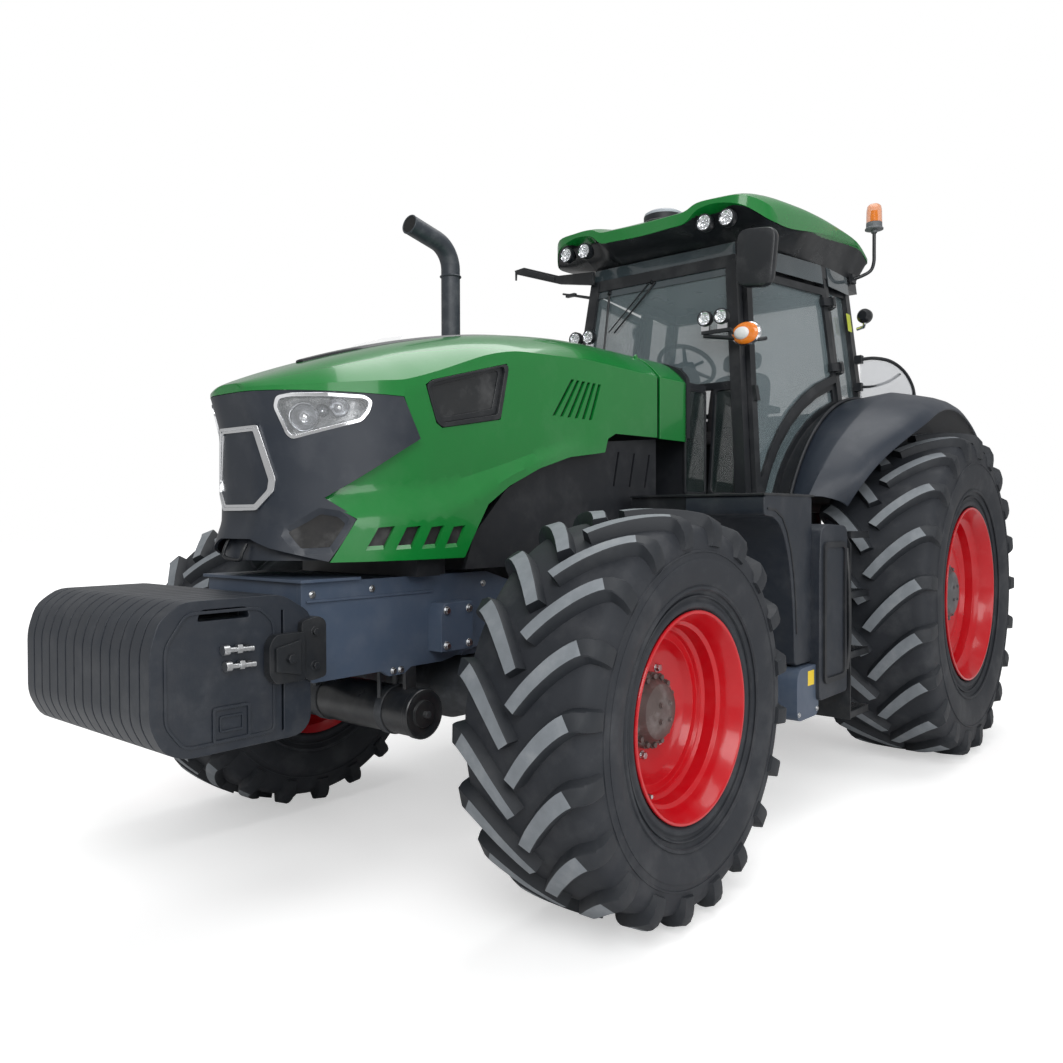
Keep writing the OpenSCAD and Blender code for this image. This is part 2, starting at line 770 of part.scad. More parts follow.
module hood() {
    color(body_green) from_axle()
        difference() {
            union() {
                hood_loft(hood_stations);
                both_sides() {
                    arrow();
                    // Ears that turn on the hinge pins
                    difference() {
                        side_view(hood_hinge_y, hood_hinge_y + 12)
                            polygon([
                                [hood_hinge_x - 13, hood_hinge_z - 14], [hood_hinge_x + 14, hood_hinge_z - 14],
                                [hood_hinge_x + 90, hood_hinge_z + 22], [hood_hinge_x - 13, hood_hinge_z + 25]
                            ]);
                        translate([hood_hinge_x, 0, hood_hinge_z])
                            rod_y(hood_pin_r + seat_gap, hood_hinge_y - 10, hood_hinge_y + 30);
                    }
                }
            }
            both_sides()
                side_view(hood_w / 2 - 160, hood_w / 2 + 20)
                    hood_openings();
        }
}
// Dark panes behind the openings, against the inside of the wall
grille_t = 6;
module wall_pane(xs, low, high) {
    grid_solid(
        [for (x = xs) [for (z = [low, high]) [x, lerp_table(wall_table, x), lerp_table(z, x)]]],
        [for (x = xs) [for (z = [low, high]) [x, lerp_table(wall_table, x) - grille_t, lerp_table(z, x)]]]
    );
}
module hood_grilles() {
    color(black) from_axle()
        both_sides() {
            wall_pane(
                [for (back = [1140, 1040, 910, 850, 690, 596]) nose_x - back],
                [[nose_x - 1140, 1975], [nose_x - 596, 1900]], [[nose_x - 1140, 2265], [nose_x - 596, 2118]]
            );
            wall_pane(
                [nose_x - 1870, nose_x - 1420], [[nose_x - 1870, 2022], [nose_x - 1420, 2018]],
                [[nose_x - 1870, 2245], [nose_x - 1420, 2240]]
            );
            wall_pane(
                [nose_x - 845, nose_x - 690, hood_cut_x, hood_front_x, nose_x - 410, nose_x - 322],
                [[nose_x - 845, 1412], [nose_x - 322, 1410]], [[nose_x - 845, 1538], [nose_x - 322, 1534]]
            );
        }
}
nose_stations = concat(
    [hood_cut_x + 10, hood_front_x + 4],
    [for (back = [410, 310, 220, 140, 80, 40, 15, 0]) nose_x - back]
);
nose_gap = 3;
nose_heights = [skirt_z, 1540, 1700, 1830, 1905, 1960, 2015, nose_top_z - seat_gap];
function nose_t(x) = max(0, (x - hood_front_x) / (nose_x - hood_front_x));
// How far the nose lies behind the lip of the hood at its tip
function nose_back(z) =
    lerp_table([[skirt_z, 0], [1540, 50], [1700, 55], [1905, 45], [nose_top_z - seat_gap, 0]], z);
// The curved wall of the nose in the top view at a height, a shell between two distances from its face
function nose_place(x, z, out) =
    let (b = 90 * pow(nose_t(x), 1.6))
        [x - nose_back(z) * nose_t(x) + out * sin(b), half_w(x) + out * cos(b), z];
function nose_ring(z, xs, out0, out1) =
    let (
        face = [for (x = xs) nose_place(x, z, out1)],
        rear = [for (x = xs) nose_place(x, z, out0)],
        across = function (line) concat(line, [for (p = backwards(line)) [p[0], -p[1], p[2]]])
    )
        concat(across(face), backwards(across(rear)));
// Outline of the hood's green side in the side view, and of a headlamp along its slanting face
green_outline = [
    [hood_cut_x - 100, skirt_z - 40], [hood_cut_x - 100, nose_top_z + 60],
    [hood_cut_x + 2 + (nose_top_z + 60 - notch_z) * 84 / 163, nose_top_z + 60], [hood_cut_x + 2, notch_z],
    arrow_tip, arrow_mouth, arrow_foot, arrow_foot + 0.24 * (arrow_foot - arrow_mouth)
];
lamp_outline = [
    for (p = [
        [182, 1973], [199, 2012], [240, 2024], [380, 2026], [523, 2024], [548, 2008],
        [534, 1964], [500, 1927], [233, 1855], [210, 1876]
    ])
        [p[0] - nose_x / sqrt(2), p[1]]
];
module slanting_prism(d0, d1) {
    rotate([0, 0, 45])
        front_view(d0, d1)
            children();
}
lamp_reach = [nose_x / sqrt(2) - 400, nose_x / sqrt(2) + 500];
module nose() {
    color(charcoal) from_axle()
        difference() {
            ring_loft([for (z = nose_heights) nose_ring(z, nose_stations, -hood_t, 0)]);
            both_sides() {
                side_view(120, hood_w / 2 + 20)
                    offset(delta = nose_gap)
                        polygon(green_outline);
                slanting_prism(lamp_reach[0], lamp_reach[1])
                    polygon(lamp_outline);
            }
        }
}
module headlamps() {
    color(steel) from_axle()
        intersection() {
            ring_loft([for (z = nose_heights) nose_ring(z, nose_stations, -hood_t - 8, -4)]);
            both_sides()
                slanting_prism(lamp_reach[0], lamp_reach[1])
                    offset(delta = -seat_gap)
                        polygon(lamp_outline);
        }
}
// Bright six-sided frame that stands proud of the nose
module nose_frame() {
    outer = [[127, 1910], [189, 1703], [183, 1656], [113, 1584]];
    inner = [[101, 1888], [160, 1700], [155, 1662], [98, 1608]];
    color(steel) from_axle()
        intersection() {
            ring_loft([
                for (z = [1540, 1700, 1830, 1905, 1960])
                    nose_ring(z, [for (back = [220, 140, 80, 40, 15, 0]) nose_x - back], 2 * seat_gap, 12)
            ]);
            front_view(nose_x - 200, nose_x + 40)
                difference() {
                    polygon(concat(outer, [for (p = backwards(outer)) [-p[0], p[1]]]));
                    polygon(concat(inner, [for (p = backwards(inner)) [-p[0], p[1]]]));
                }
        }
}
panel_y = 400;
module side_panels() {
    color(black) from_axle()
        both_sides() {
            side_view(panel_y - 18, panel_y)
                difference() {
                    polygon([
                        [hood_rear_x - 80, 1330], [hood_rear_x - 80, 1990], [nose_x - 1970, 1950],
                        [nose_x - 1490, 1855], [nose_x - 1160, 1680],
                        [nose_x - 950, 1480], [nose_x - 890, 1330]
                    ]);
                    for (i = [0 : 2])
                        translate([hood_rear_x - 20 + 150 * i, 0])
                            polygon([[0, 1900], [16, 1898], [62, 1716], [46, 1716]]);
                }
            for (x = [engine_rear_x + 350, engine_front_x - 150])
                box([x, engine_w / 2 + seat_gap, 1480], [x + 60, panel_y - 18, 1540]);
        }
}
cab_front_x = 1420;
cowl_rear_x = hood_rear_x - hood_gap - cowl_l;
cowl_front_x = hood_rear_x - hood_gap;
module cowl() {
    stations = [cowl_rear_x, cowl_rear_x + cowl_l / 3, cowl_rear_x + cowl_l * 2 / 3, cowl_front_x];
    color(body_green) from_axle() {
        hood_loft(stations);
        // Bulkhead under the crown, and brackets with the pins that the hood turns on
        front_view(cowl_front_x - 40, cowl_front_x - 20)
            polygon([
                for (p = full_section(cowl_front_x - 30, hood_t - 3)) if (p[2] > 2300) [p[1], p[2]]
            ]);
        both_sides() {
            side_view(hood_hinge_y - 16, hood_hinge_y - slide_gap)
                polygon([
                    [cowl_front_x - 30, hood_hinge_z - 30], [cowl_front_x - 30, hood_hinge_z - 90],
                    [hood_hinge_x + 4, hood_hinge_z - 60], [hood_hinge_x + 12, hood_hinge_z],
                    [hood_hinge_x, hood_hinge_z + 12], [hood_hinge_x - 12, hood_hinge_z],
                    [hood_hinge_x - 14, hood_hinge_z - 30]
                ]);
            translate([hood_hinge_x, 0, hood_hinge_z])
                rod_y(hood_pin_r, hood_hinge_y - 10, hood_hinge_y + 14);
        }
    }
}
// Housing between the cowl and the cab, with the air intake under the windscreen
module scuttle() {
    flange_x = cowl_rear_x - seat_gap;
    color(black) from_axle() {
        slab(
            [for (p = full_section(cowl_rear_x, 0)) [flange_x, p[1] * 0.98, p[2]]],
            [for (p = full_section(cowl_rear_x, 0)) [flange_x - 40, p[1] * 0.98, p[2]]]
        );
        box([cab_front_x + 30 + seat_gap, -hood_w / 2 + 30, cab_sill_z + seat_gap],
            [flange_x - 20, hood_w / 2 - 30, windscreen_low_z - 20]);
    }
}
windscreen_low_z = cab_top_z - 790;
exhaust_y = -640;
exhaust_x = engine_rear_x + 640;
module exhaust() {
    r = exhaust_d / 2;
    bend_r = 150;
    color(cast_grey) from_axle()
        translate([exhaust_x, exhaust_y, 0]) {
            translate([0, 0, 1720])
                cylinder(r = r, h = 3000 - 1720);
            translate([bend_r, 0, 3000])
                rotate([90, 0, 0])
                    rotate([0, 0, 180])
                        mirror([0, 1, 0])
                            rotate_extrude(angle = 60)
                                translate([bend_r, 0])
                                    circle(r = r);
            translate([0, 0, 1690])
                cylinder(r = r + 40, h = 430);
            // Bracket to the side panel
            box([-30, 60, 1760], [30, -panel_y - seat_gap - exhaust_y, 1800]);
        }
}

// Cab: the side leans in towards the top and towards the front
side_lean_x = 0.2;
side_lean_z = 0.1293;
side_base_y = 1197;
function side_y(x, z) = side_base_y - side_lean_x * max(x, door_hinge_x) - side_lean_z * z;
door_hinge_x = 350;
pillar_b_x = 350;
pillar_c_x = -30;
front_lean = 0.1133;
function front_x(z) = 1420 - (z - 1650) * front_lean;
cab_sill_z = cab_floor_z + cab_floor_t;
function side_point(x, z, out) = [x, side_y(x, z) + out, z];
// A plate in the leaning side, with its outline as places along X and heights
module side_plate(outline, y_in, y_out) {
    slab(
        [for (p = outline) side_point(p[0], p[1], y_in)],
        [for (p = outline) side_point(p[0], p[1], y_out)]
    );
}
arch_r = rear_tyre_d / 2 + fender_gap + fender_t;
door_arch_r = arch_r + door_lift;
door_low_z = cab_sill_z + 40;
function round_axle(r, a) = [r * cos(a), rear_axle_z + r * sin(a)];
function door_front(z, inset) = front_x(z) - pillar_t / 2 - door_gap - inset;
// The angle at which the arch comes near the front edge, leaving a short lower edge
door_foot_l = 12;
function foot_angle(r, inset, a, tries) =
    tries == 0 ? a :
    let (front = door_front(rear_axle_z + r * sin(a), inset))
        foot_angle(r, inset, acos((front - door_foot_l) / r), tries - 1);
function door_outline(inset) =
    let (
        top = cab_top_z - pillar_t - door_gap - inset,
        rear = pillar_b_x + pillar_t / 2 + door_gap + inset,
        ar = door_arch_r + inset,
        steps = 6,
        a_low = asin((door_low_z + inset - rear_axle_z) / ar),
        a0 = max(a_low, foot_angle(ar, inset, a_low, 8)),
        a1 = acos(rear / ar),
        low = rear_axle_z + ar * sin(a0)
    )
        concat(
            [[door_front(low, inset), low], [door_front(top, inset), top], [rear, top]],
            [for (i = [0 : steps]) round_axle(ar, mix(a1, a0, i / steps))]
        );
// A closed frame in the leaning side, between an outer and an inner outline
module ring_plate(outer_line, inner_line, y_in, y_out) {
    clockwise = turning([for (p = outer_line) [p[0], p[1], 0]])[2] < 0;
    outer = clockwise ? backwards(outer_line) : outer_line;
    inner = clockwise ? backwards(inner_line) : inner_line;
    n = len(outer);
    polyhedron(
        [for (y = [y_in, y_out]) for (line = [outer, inner]) for (p = line) side_point(p[0], p[1], y)],
        [for (i = [0 : n - 1])
            let (j = (i + 1) % n)
                each [
                    [i, j, 2 * n + j, 2 * n + i],
                    [n + i, 3 * n + i, 3 * n + j, n + j],
                    [i, n + i, n + j, j],
                    [2 * n + i, 2 * n + j, 3 * n + j, 3 * n + i]
                ]]
    );
}
// A plate in the leaning side, between two lines with as many points each
module strip_plate(line_a, line_b, y_in, y_out) {
    clockwise = turning([for (p = concat(line_a, backwards(line_b))) [p[0], p[1], 0]])[2] < 0;
    a = clockwise ? line_b : line_a;
    b = clockwise ? line_a : line_b;
    n = len(a);
    polyhedron(
        [for (y = [y_in, y_out]) for (line = [a, b]) for (p = line) side_point(p[0], p[1], y)],
        concat(
            halves([0, 2 * n, 3 * n, n]),
            halves([n - 1, 2 * n - 1, 4 * n - 1, 3 * n - 1]),
            [for (i = [0 : n - 2])
                let (j = i + 1)
                    each concat(
                        halves([i, j, 2 * n + j, 2 * n + i]),
                        halves([n + i, 3 * n + i, 3 * n + j, n + j]),
                        halves([i, n + i, n + j, j]),
                        halves([2 * n + i, 2 * n + j, 3 * n + j, 3 * n + i])
                    )]
        )
    );
}
// Hinges of a door, on an axis beside the middle pillar
door_axis_x = pillar_b_x + 25;
door_axis_out = 50;
door_pin_r = 8;
door_hinge_z = [cab_top_z - 610, cab_top_z - 170];
module at_door_hinges() {
    for (z = door_hinge_z)
        translate([door_axis_x, side_y(door_axis_x, z) + door_axis_out, z])
            rotate([atan(side_lean_z), 0, 0])
                children();
}
module hinge_on_pillar() {
    cylinder(r = door_pin_r, h = 76, center = true);
    for (side = [-1, 1])
        translate([0, 0, side * 33])
            linear_extrude(10, center = true)
                polygon([[-48, -48], [11, -48], [14, 0], [8, 12], [-8, 12], [-48, -30]]);
}
module hinge_on_door() {
    difference() {
        linear_extrude(52, center = true)
            polygon([
                [15, -8], [15, 8], [8, 15], [-8, 15], [-15, 8], [-15, -8], [-8, -15],
                [12, -17], [24, -40], [84, -58], [84, -30], [30, -8]
            ]);
        cylinder(r = door_pin_r + seat_gap, h = 60, center = true);
    }
}
door_half = 20;
module door() {
    at_door_hinges()
        hinge_on_door();
    ring_plate(door_outline(0), door_outline(door_frame_w), -door_half, door_half);
    // Handle on the front edge
    handle_x = front_x(2300) - pillar_t / 2 - door_gap;
    side_plate([
        [handle_x - 12, 2250], [handle_x - 6, 2340], [handle_x - 36, 2340], [handle_x - 42, 2250]
    ], door_half - 4, door_half + 22);
}
module door_l() {
    color(black) from_axle() door();
}
module door_r() {
    mirror([0, 1, 0]) door_l();
}
module door_glass_l() {
    color("lightblue", 0.5) from_axle()
        let (
            edge = door_outline(door_frame_w + seat_gap),
            arc = [for (i = [3 : len(edge) - 1]) edge[i]],
            rest = [
                edge[2], mix(edge[2], edge[1], 0.33), mix(edge[2], edge[1], 0.67), edge[1],
                mix(edge[1], edge[0], 0.33), mix(edge[1], edge[0], 0.67), edge[0]
            ]
        )
            strip_plate(arc, rest, -glass_t / 2, glass_t / 2);
}
module door_glass_r() {
    mirror([0, 1, 0]) door_glass_l();
}
arch_wall_y = 745;
arch_edge_y = 838;
pillar_low_z = rear_axle_z + arch_r - 50;
// A strip round the rear axle, from the front of the arch to its rear, between two radii
module arch_strip(r_in, r_out, y0, y1, from = 28, to = 96) {
    translate([0, 0, rear_axle_z])
        rotate([90, 0, 0])
            rotate([0, 0, from])
                rotate_extrude(angle = to - from, $fn = 96)
                    polygon([[r_in, -y0], [r_out, -y0], [r_out, -y1], [r_in, -y1]]);
}
function arch_window_outline(inset) =
    let (
        r0 = arch_r - 2 + inset, r1 = door_arch_r - door_gap - inset, steps = 6,
        rear = pillar_b_x + pillar_t / 2 - 4 + inset,
        low = cab_sill_z + 4 + inset,
        front0 = front_x(low) - pillar_t / 2 + 2 - inset,
        a_top = acos(rear / r1), a_end = asin((low - rear_axle_z) / r1),
        b_top = acos(rear / r0), b_end = asin((low - rear_axle_z) / r0),
        a_low = r1 * cos(a_end) < front0 ? a_end : acos(front0 / r1)
    )
        concat(
            [for (i = [0 : steps]) let (a = mix(b_end, b_top, i / steps)) round_axle(r0, a)],
            [for (i = [0 : steps]) let (a = mix(a_top, a_low, i / steps)) round_axle(r1, a)]
        );
module cab_frame() {
    low = cab_sill_z + seat_gap;
    top = cab_top_z;
    half = pillar_t / 2;
    rail = [[front_x(top), 0], [pillar_c_x, 0], [pillar_c_x, -pillar_t], [front_x(top), -pillar_t]];
    color(black) from_axle() {
        both_sides() {
            // Front, middle and rear pillars
            post([front_x(low), side_y(front_x(low), low) - half, low],
                 [front_x(top), side_y(front_x(top), top) - half, top], pillar_t, pillar_t);
            post([pillar_b_x, side_y(0, pillar_low_z) - half, pillar_low_z],
                 [pillar_b_x, side_y(0, top) - half, top], pillar_t, pillar_t);
            post([pillar_c_x, side_y(0, pillar_low_z) - half, pillar_low_z],
                 [pillar_c_x, side_y(0, top) - half, top], pillar_t, pillar_t);
            // Rail under the roof
            slab(
                [for (p = rail) [p[0], side_y(p[0], top) + p[1], top - pillar_t]],
                [for (p = rail) [p[0], side_y(p[0], top) + p[1], top]]
            );
            // Wheel arch: an upright wall, and a strip round its edge that carries the fender
            side_view(arch_wall_y, arch_wall_y + 16)
                polygon(concat(
                    [[pillar_c_x - half, low], [pillar_c_x - half, rear_axle_z + arch_r - 4]],
                    [for (i = [0 : 8])
                        round_axle(arch_r - 4, mix(90, asin((low - rear_axle_z) / (arch_r - 4)), i / 8))]
                ));
            arch_strip(arch_r - fender_t, arch_r, arch_wall_y, arch_edge_y);
            at_door_hinges()
                hinge_on_pillar();
            // Frame of the fixed window between the arch and the door
            ring_plate(arch_window_outline(0), arch_window_outline(34), -44, -8);
        }
        // Headers over the windscreen and the rear window, and the rear wall
        box([front_x(top) - half, -side_y(front_x(top), top) + 20, top - pillar_t],
            [front_x(top) + half, side_y(front_x(top), top) - 20, top]);
        box([pillar_c_x - half, -side_y(0, top) + 20, top - pillar_t],
            [pillar_c_x + half, side_y(0, top) - 20, top]);
        box([pillar_c_x - half, -arch_wall_y - 16, low],
            [pillar_c_x - half + 30, arch_wall_y + 16, pillar_low_z]);
    }
}
module cab_floor() {
    color(charcoal) from_axle() {
        box([pillar_c_x - pillar_t / 2, 5 - arch_wall_y, cab_floor_z],
            [1450, arch_wall_y - 5, cab_sill_z]);
        // Rubber mounts on the gearbox and on the rear axle
        both_sides() {
            translate([1150, 150, case_top_z + seat_gap])
                cylinder(r = 50, h = cab_floor_z - case_top_z);
            translate([0, 500, rear_axle_z + trumpet_r + seat_gap])
                cylinder(r = 50, h = cab_floor_z - rear_axle_z - trumpet_r);
        }
    }
}
module cab_glass() {
    half = pillar_t / 2;
    low = windscreen_low_z;
    top = cab_top_z - pillar_t;
    color("lightblue", 0.5) from_axle() {
        // Windscreen
        pane([
            [front_x(low), side_y(front_x(low), low) - pillar_t - seat_gap, low],
            [front_x(low), -side_y(front_x(low), low) + pillar_t + seat_gap, low],
            [front_x(top), -side_y(front_x(top), top) + pillar_t + seat_gap, top - 1 - seat_gap],
            [front_x(top), side_y(front_x(top), top) - pillar_t - seat_gap, top - 1 - seat_gap]
        ], glass_t);
        // Rear window
        pane([
            [pillar_c_x, seat_gap - arch_wall_y, pillar_low_z + seat_gap],
            [pillar_c_x, arch_wall_y - seat_gap, pillar_low_z + seat_gap],
            [pillar_c_x, side_y(0, top) - pillar_t - seat_gap, top - seat_gap],
            [pillar_c_x, -side_y(0, top) + pillar_t + seat_gap, top - seat_gap]
        ], glass_t);
        // Fixed windows over the wheel arches
        both_sides()
            let (
                edge = arch_window_outline(34 + 2 * seat_gap),
                n = len(edge) / 2,
                low_line = [for (i = [0 : n - 1]) edge[i]],
                high_line = [for (i = [n - 1 : -1 : 0]) edge[n + i]]
            )
                strip_plate(low_line, high_line, -30, -30 + glass_t);
        // Quarter windows
        both_sides()
            let (a = pillar_b_x - half - seat_gap, b = pillar_c_x + half + seat_gap, low = pillar_low_z + 71)
                side_plate(
                    [[a, low], [a, top - seat_gap], [b, top - seat_gap], [b, low]],
                    -40, -40 + glass_t
                );
    }
}
// The roof as lines along it, each at a place across: front and rear ends, and heights over the cab's top
roof_half = roof_w / 2;
roof_shares = [0, 0.06, 0.16, 0.35, 0.58, 0.86, 1];
// Place across, front end, rear end, heights of the upper skin, heights of the lower edge
roof_lines = [
    [0, 1500, -290, [240, 285, 325, 340, 345, 320, 240], [163, 160, 150, 150, 150, 150, 150]],
    [roof_half - 605, 1500, -290, [244, 285, 325, 340, 345, 320, 240], [170, 165, 150, 150, 150, 150, 150]],
    [roof_half - 495, 1500, -290, [250, 292, 328, 340, 346, 322, 240], [178, 170, 150, 150, 150, 150, 150]],
    [roof_half - 410, 1498, -290, [284, 315, 338, 344, 348, 325, 245], [241, 190, 150, 150, 150, 150, 150]],
    [roof_half - 275, 1492, -285, [286, 322, 342, 347, 350, 328, 250], [255, 195, 150, 150, 150, 160, 150]],
    [roof_half - 125, 1460, -270, [280, 312, 338, 346, 350, 330, 250], [217, 180, 160, 165, 180, 200, 180]],
    [roof_half - 25, 1350, -240, [232, 262, 300, 332, 342, 326, 245], [145, 148, 160, 190, 225, 260, 205]],
    [roof_half, 1270, -200, [170, 190, 236, 292, 318, 312, 238], [132, 134, 150, 200, 255, 285, 215]]
];
function roof_row(q, side, heights, lift, inset) =
    [for (i = [0 : len(roof_shares) - 1])
        let (x = mix(q[1], q[2], roof_shares[i]))
            [mix(x, 600, inset), side * q[0] * (1 - inset), cab_top_z + heights[i] * roof_h / 350 + lift]];
function roof_rows(heights, lift, inset) =
    concat(
        [for (q = backwards(roof_lines)) roof_row(q, -1, q[heights], lift, inset)],
        [for (i = [1 : len(roof_lines) - 1]) roof_row(roof_lines[i], 1, roof_lines[i][heights], lift, inset)]
    );
module cab_roof() {
    color(body_green) from_axle()
        grid_solid(roof_rows(3, 0, 0), roof_rows(4, 0, 0));
}
module roof_fascia() {
    floor_z = cab_top_z + seat_gap;
    color(black) from_axle()
        difference() {
            grid_solid(
                roof_rows(4, -seat_gap, 0),
                [for (row = roof_rows(4, 0, 0.1)) [for (p = row) [p[0], p[1], floor_z]]]
            );
            at_work_lamps()
                rod_x(work_lamp_r + seat_gap, 0, 200);
        }
}
// Round lamps in pockets of the fascia
work_lamp_r = 52;
module at_work_lamps() {
    for (y = [roof_half - 360, roof_half - 212])
        both_sides()
            translate([roof_lines[3][1] - 60, y, cab_top_z + 155])
                children();
}
module work_lamps() {
    color(steel) from_axle()
        at_work_lamps()
            rod_x(work_lamp_r, seat_gap, 70);
}
module seat() {
    color(black) from_axle() {
        translate([420, 0, 0]) {
            box([-200, -170, cab_sill_z + seat_gap], [180, 170, 2040]);
            box([-240, -250, 2040], [260, 250, 2150]);
            slab(
                [[-240, -240, 2150], [-240, 240, 2150], [-130, 240, 2150], [-130, -240, 2150]],
                [[-360, -200, 2780], [-360, 200, 2780], [-280, 200, 2780], [-280, -200, 2780]]
            );
        }
    }
}
module dash() {
    color(charcoal) from_axle() {
        box([1130, -240, cab_sill_z + seat_gap], [1290, 240, 2420]);
        // Steering column and wheel
        translate([1130, 0, 2300])
            rotate([0, -35, 0]) {
                cylinder(r = 35, h = 330);
                translate([0, 0, 330])
                    rotate_extrude()
                        polygon([
                        [174, -7], [174, 7], [183, 16], [197, 16], [206, 7], [206, -7], [197, -16], [183, -16]
                    ]);
                translate([0, 0, 322])
                    linear_extrude(14) {
                        circle(r = 60);
                        for (a = [20, 140, 260])
                            rotate(a)
                                translate([0, -14])
                                    square([186, 28]);
                    }
            }
    }
}
mirror_low_z = cab_top_z - 70;
module mirrors() {
    face_x = front_x(mirror_low_z) + pillar_t / 2 + seat_gap;
    pillar_y = side_y(front_x(mirror_low_z), mirror_low_z) - pillar_t / 2;
    color(black) from_axle() {
        // Left: a block on the pillar, an arm and the mirror's housing
        front_view(face_x, face_x + 30)
            polygon([
                [pillar_y - 20, mirror_low_z], [815, mirror_low_z + 20], [815, mirror_low_z + 52],
                [pillar_y - 20, mirror_low_z + 50]
            ]);
        box([face_x + 10, 780, mirror_low_z + 24], [1440, 812, mirror_low_z + 50]);
        front_view(1422, 1476)
            polygon(rounded_box(680, mirror_low_z - 220, 906, mirror_low_z + 90, 42));
        // Right: a bare arm that rises past the roof
        front_view(face_x, face_x + 30)
            polygon([
                [20 - pillar_y, mirror_low_z + 50], [-800, mirror_low_z + 60], [-1190, mirror_low_z + 275],
                [-1225, mirror_low_z + 270], [-1200, mirror_low_z + 215], [-1170, mirror_low_z + 232],
                [-815, mirror_low_z + 20], [20 - pillar_y, mirror_low_z]
            ]);
    }
}
side_lamp_z = cab_top_z - 650;
module side_lamps() {
    px = front_x(side_lamp_z - 20) + pillar_t / 2 + seat_gap;
    py = side_y(front_x(side_lamp_z), side_lamp_z) - pillar_t / 2;
    color(black) from_axle()
        both_sides() {
            box([px, py - 20, side_lamp_z - 20], [1455, py + 16, side_lamp_z + 16]);
            front_view(1443, 1455)
                polygon([
                    [py - 20, side_lamp_z - 20], [py + 20, side_lamp_z - 10], [730, side_lamp_z + 120],
                    [680, side_lamp_z + 150], [560, side_lamp_z + 160], [560, side_lamp_z + 260],
                    [400, side_lamp_z + 265], [400, side_lamp_z + 200], [530, side_lamp_z + 195],
                    [530, side_lamp_z + 120], [660, side_lamp_z + 100]
                ]);
            translate([0, 690, side_lamp_z + 125])
                rod_x(62, 1430, 1480);
            for (y = [425, 535])
                translate([0, y, side_lamp_z + 235])
                    rod_x(46, 1425, 1485);
        }
}
module beacon() {
    beacon_y = roof_w / 2 + 65;
    base_z = cab_top_z + 410;
    color("orange") from_axle() {
        translate([-150, beacon_y, base_z])
            cylinder(r = 55, h = 190);
        translate([-150, beacon_y, cab_top_z + 100])
            cylinder(r = 12, h = base_z - cab_top_z - 90);
        translate([-150, 0, cab_top_z + 244])
            rod_y(9, roof_half + seat_gap, beacon_y);
    }
}

// Fender: one profile swept round the rear axle
module fender_l() {
    r0 = arch_r - fender_t;
    inner = arch_edge_y + seat_gap;
    outer = inner + fender_w;
    profile_out = [[arch_r, inner], [arch_r + 16, inner + 120], [arch_r + 28, inner + 300],
                   [arch_r, outer - 130], [arch_r - 50, outer - 40], [arch_r - 100, outer]];
    n = len(profile_out);
    profile = concat(
        profile_out,
        [for (i = [n - 1 : -1 : 0]) profile_out[i] - [fender_t, 0]]
    );
    color(charcoal) from_axle()
        difference() {
            translate([0, 0, rear_axle_z])
                rotate([90, 0, 0])
                    rotate([0, 0, 28])
                        rotate_extrude(angle = 112, $fn = 96)
                            polygon([for (p = profile) [p[0], -p[1]]]);
            // The front corner narrows towards its lower edge
            translate([0, inner + 330, rear_axle_z + 560])
                rotate([-58, 0, 0])
                    translate([0, 0, -900])
                        cube([2000, 600, 900]);
        }
}
module fender_r() {
    mirror([0, 1, 0]) fender_l();
}
module tank_l() {
    color(charcoal) from_axle() {
        side_view(800, 1240)
            polygon([
                [1440, 520], [1440, 1520], [1780, 1520], [1780, 1660], [2160, 1660], [2120, 1450],
                [2030, 1150], [2000, 850], [2020, 520]
            ]);
        box([case_rear_x + 1900, case_w / 2 + seat_gap, 900], [1700, 800, 1100]);
    }
}
module tank_r() {
    mirror([0, 1, 0]) tank_l();
}
module steps() {
    color(black) from_axle()
        both_sides() {
            for (z = [450, 780, 1110, 1440])
                box([1115, 960, z], [1400, 1300, z + 30]);
            box([1400, 960, 450], [1440 - seat_gap, 1300, 1470]);
        }
}

// Rear linkage
module lower_links() {
    color(cast_grey) from_axle()
        both_sides()
            translate([link_pivot_x, link_y, link_pivot_z])
                difference() {
                    union() {
                        side_view(-22, 22)
                            polygon([[0, -38], [0, 38], [-link_l, 38], [-link_l, -38]]);
                        rod_y(48, -30, 30);
                        translate([-link_l, 0, 0])
                            rod_y(link_end_r, -28, 28);
                        translate([-lift_arm_l, 0, 0])
                            rod_y(34, -22, 22);
                    }
                    rod_y(link_pin_r + seat_gap, -40, 40);
                    translate([-link_l, 0, 0])
                        rod_y(link_bore_r, -40, 40);
                    translate([-lift_arm_l, 0, 0])
                        rod_y(15 + seat_gap, -40, 40);
                }
}
module lift_rods() {
    dx = lift_shaft_x - link_pivot_x;
    dz = lift_shaft_z - link_pivot_z;
    color(cast_grey) from_axle()
        both_sides()
            translate([link_pivot_x - lift_arm_l, link_y, link_pivot_z]) {
                rod_y(15, -24, 46);
                translate([0, 46, 0])
                    rod_y(32, 0, 24);
                translate([dx, 46, dz])
                    rod_y(32, 0, 24);
                translate([dx, 0, dz])
                    rod_y(15, -24, 46);
                hull()
                    for (end = [0, 1])
                        translate([dx * end, 58, dz * end])
                            cylinder(r = 12, h = 1, $fn = 24);
            }
}
module lift_arms() {
    color(cast_grey) from_axle()
        translate([lift_shaft_x, 0, lift_shaft_z]) {
            rod_y(lift_shaft_r, -link_y - 22, link_y + 22);
            both_sides()
                difference() {
                    side_view(link_y - 22, link_y + 22)
                        polygon([
                        [30, -45], [30, 45], [0, 50],
                        [-lift_arm_l, 34], [-lift_arm_l - 34, 0], [-lift_arm_l, -34], [0, -50]
                    ]);
                    translate([-lift_arm_l, 0, 0])
                        rod_y(15 + seat_gap, 0, 2 * link_y);
                }
        }
}
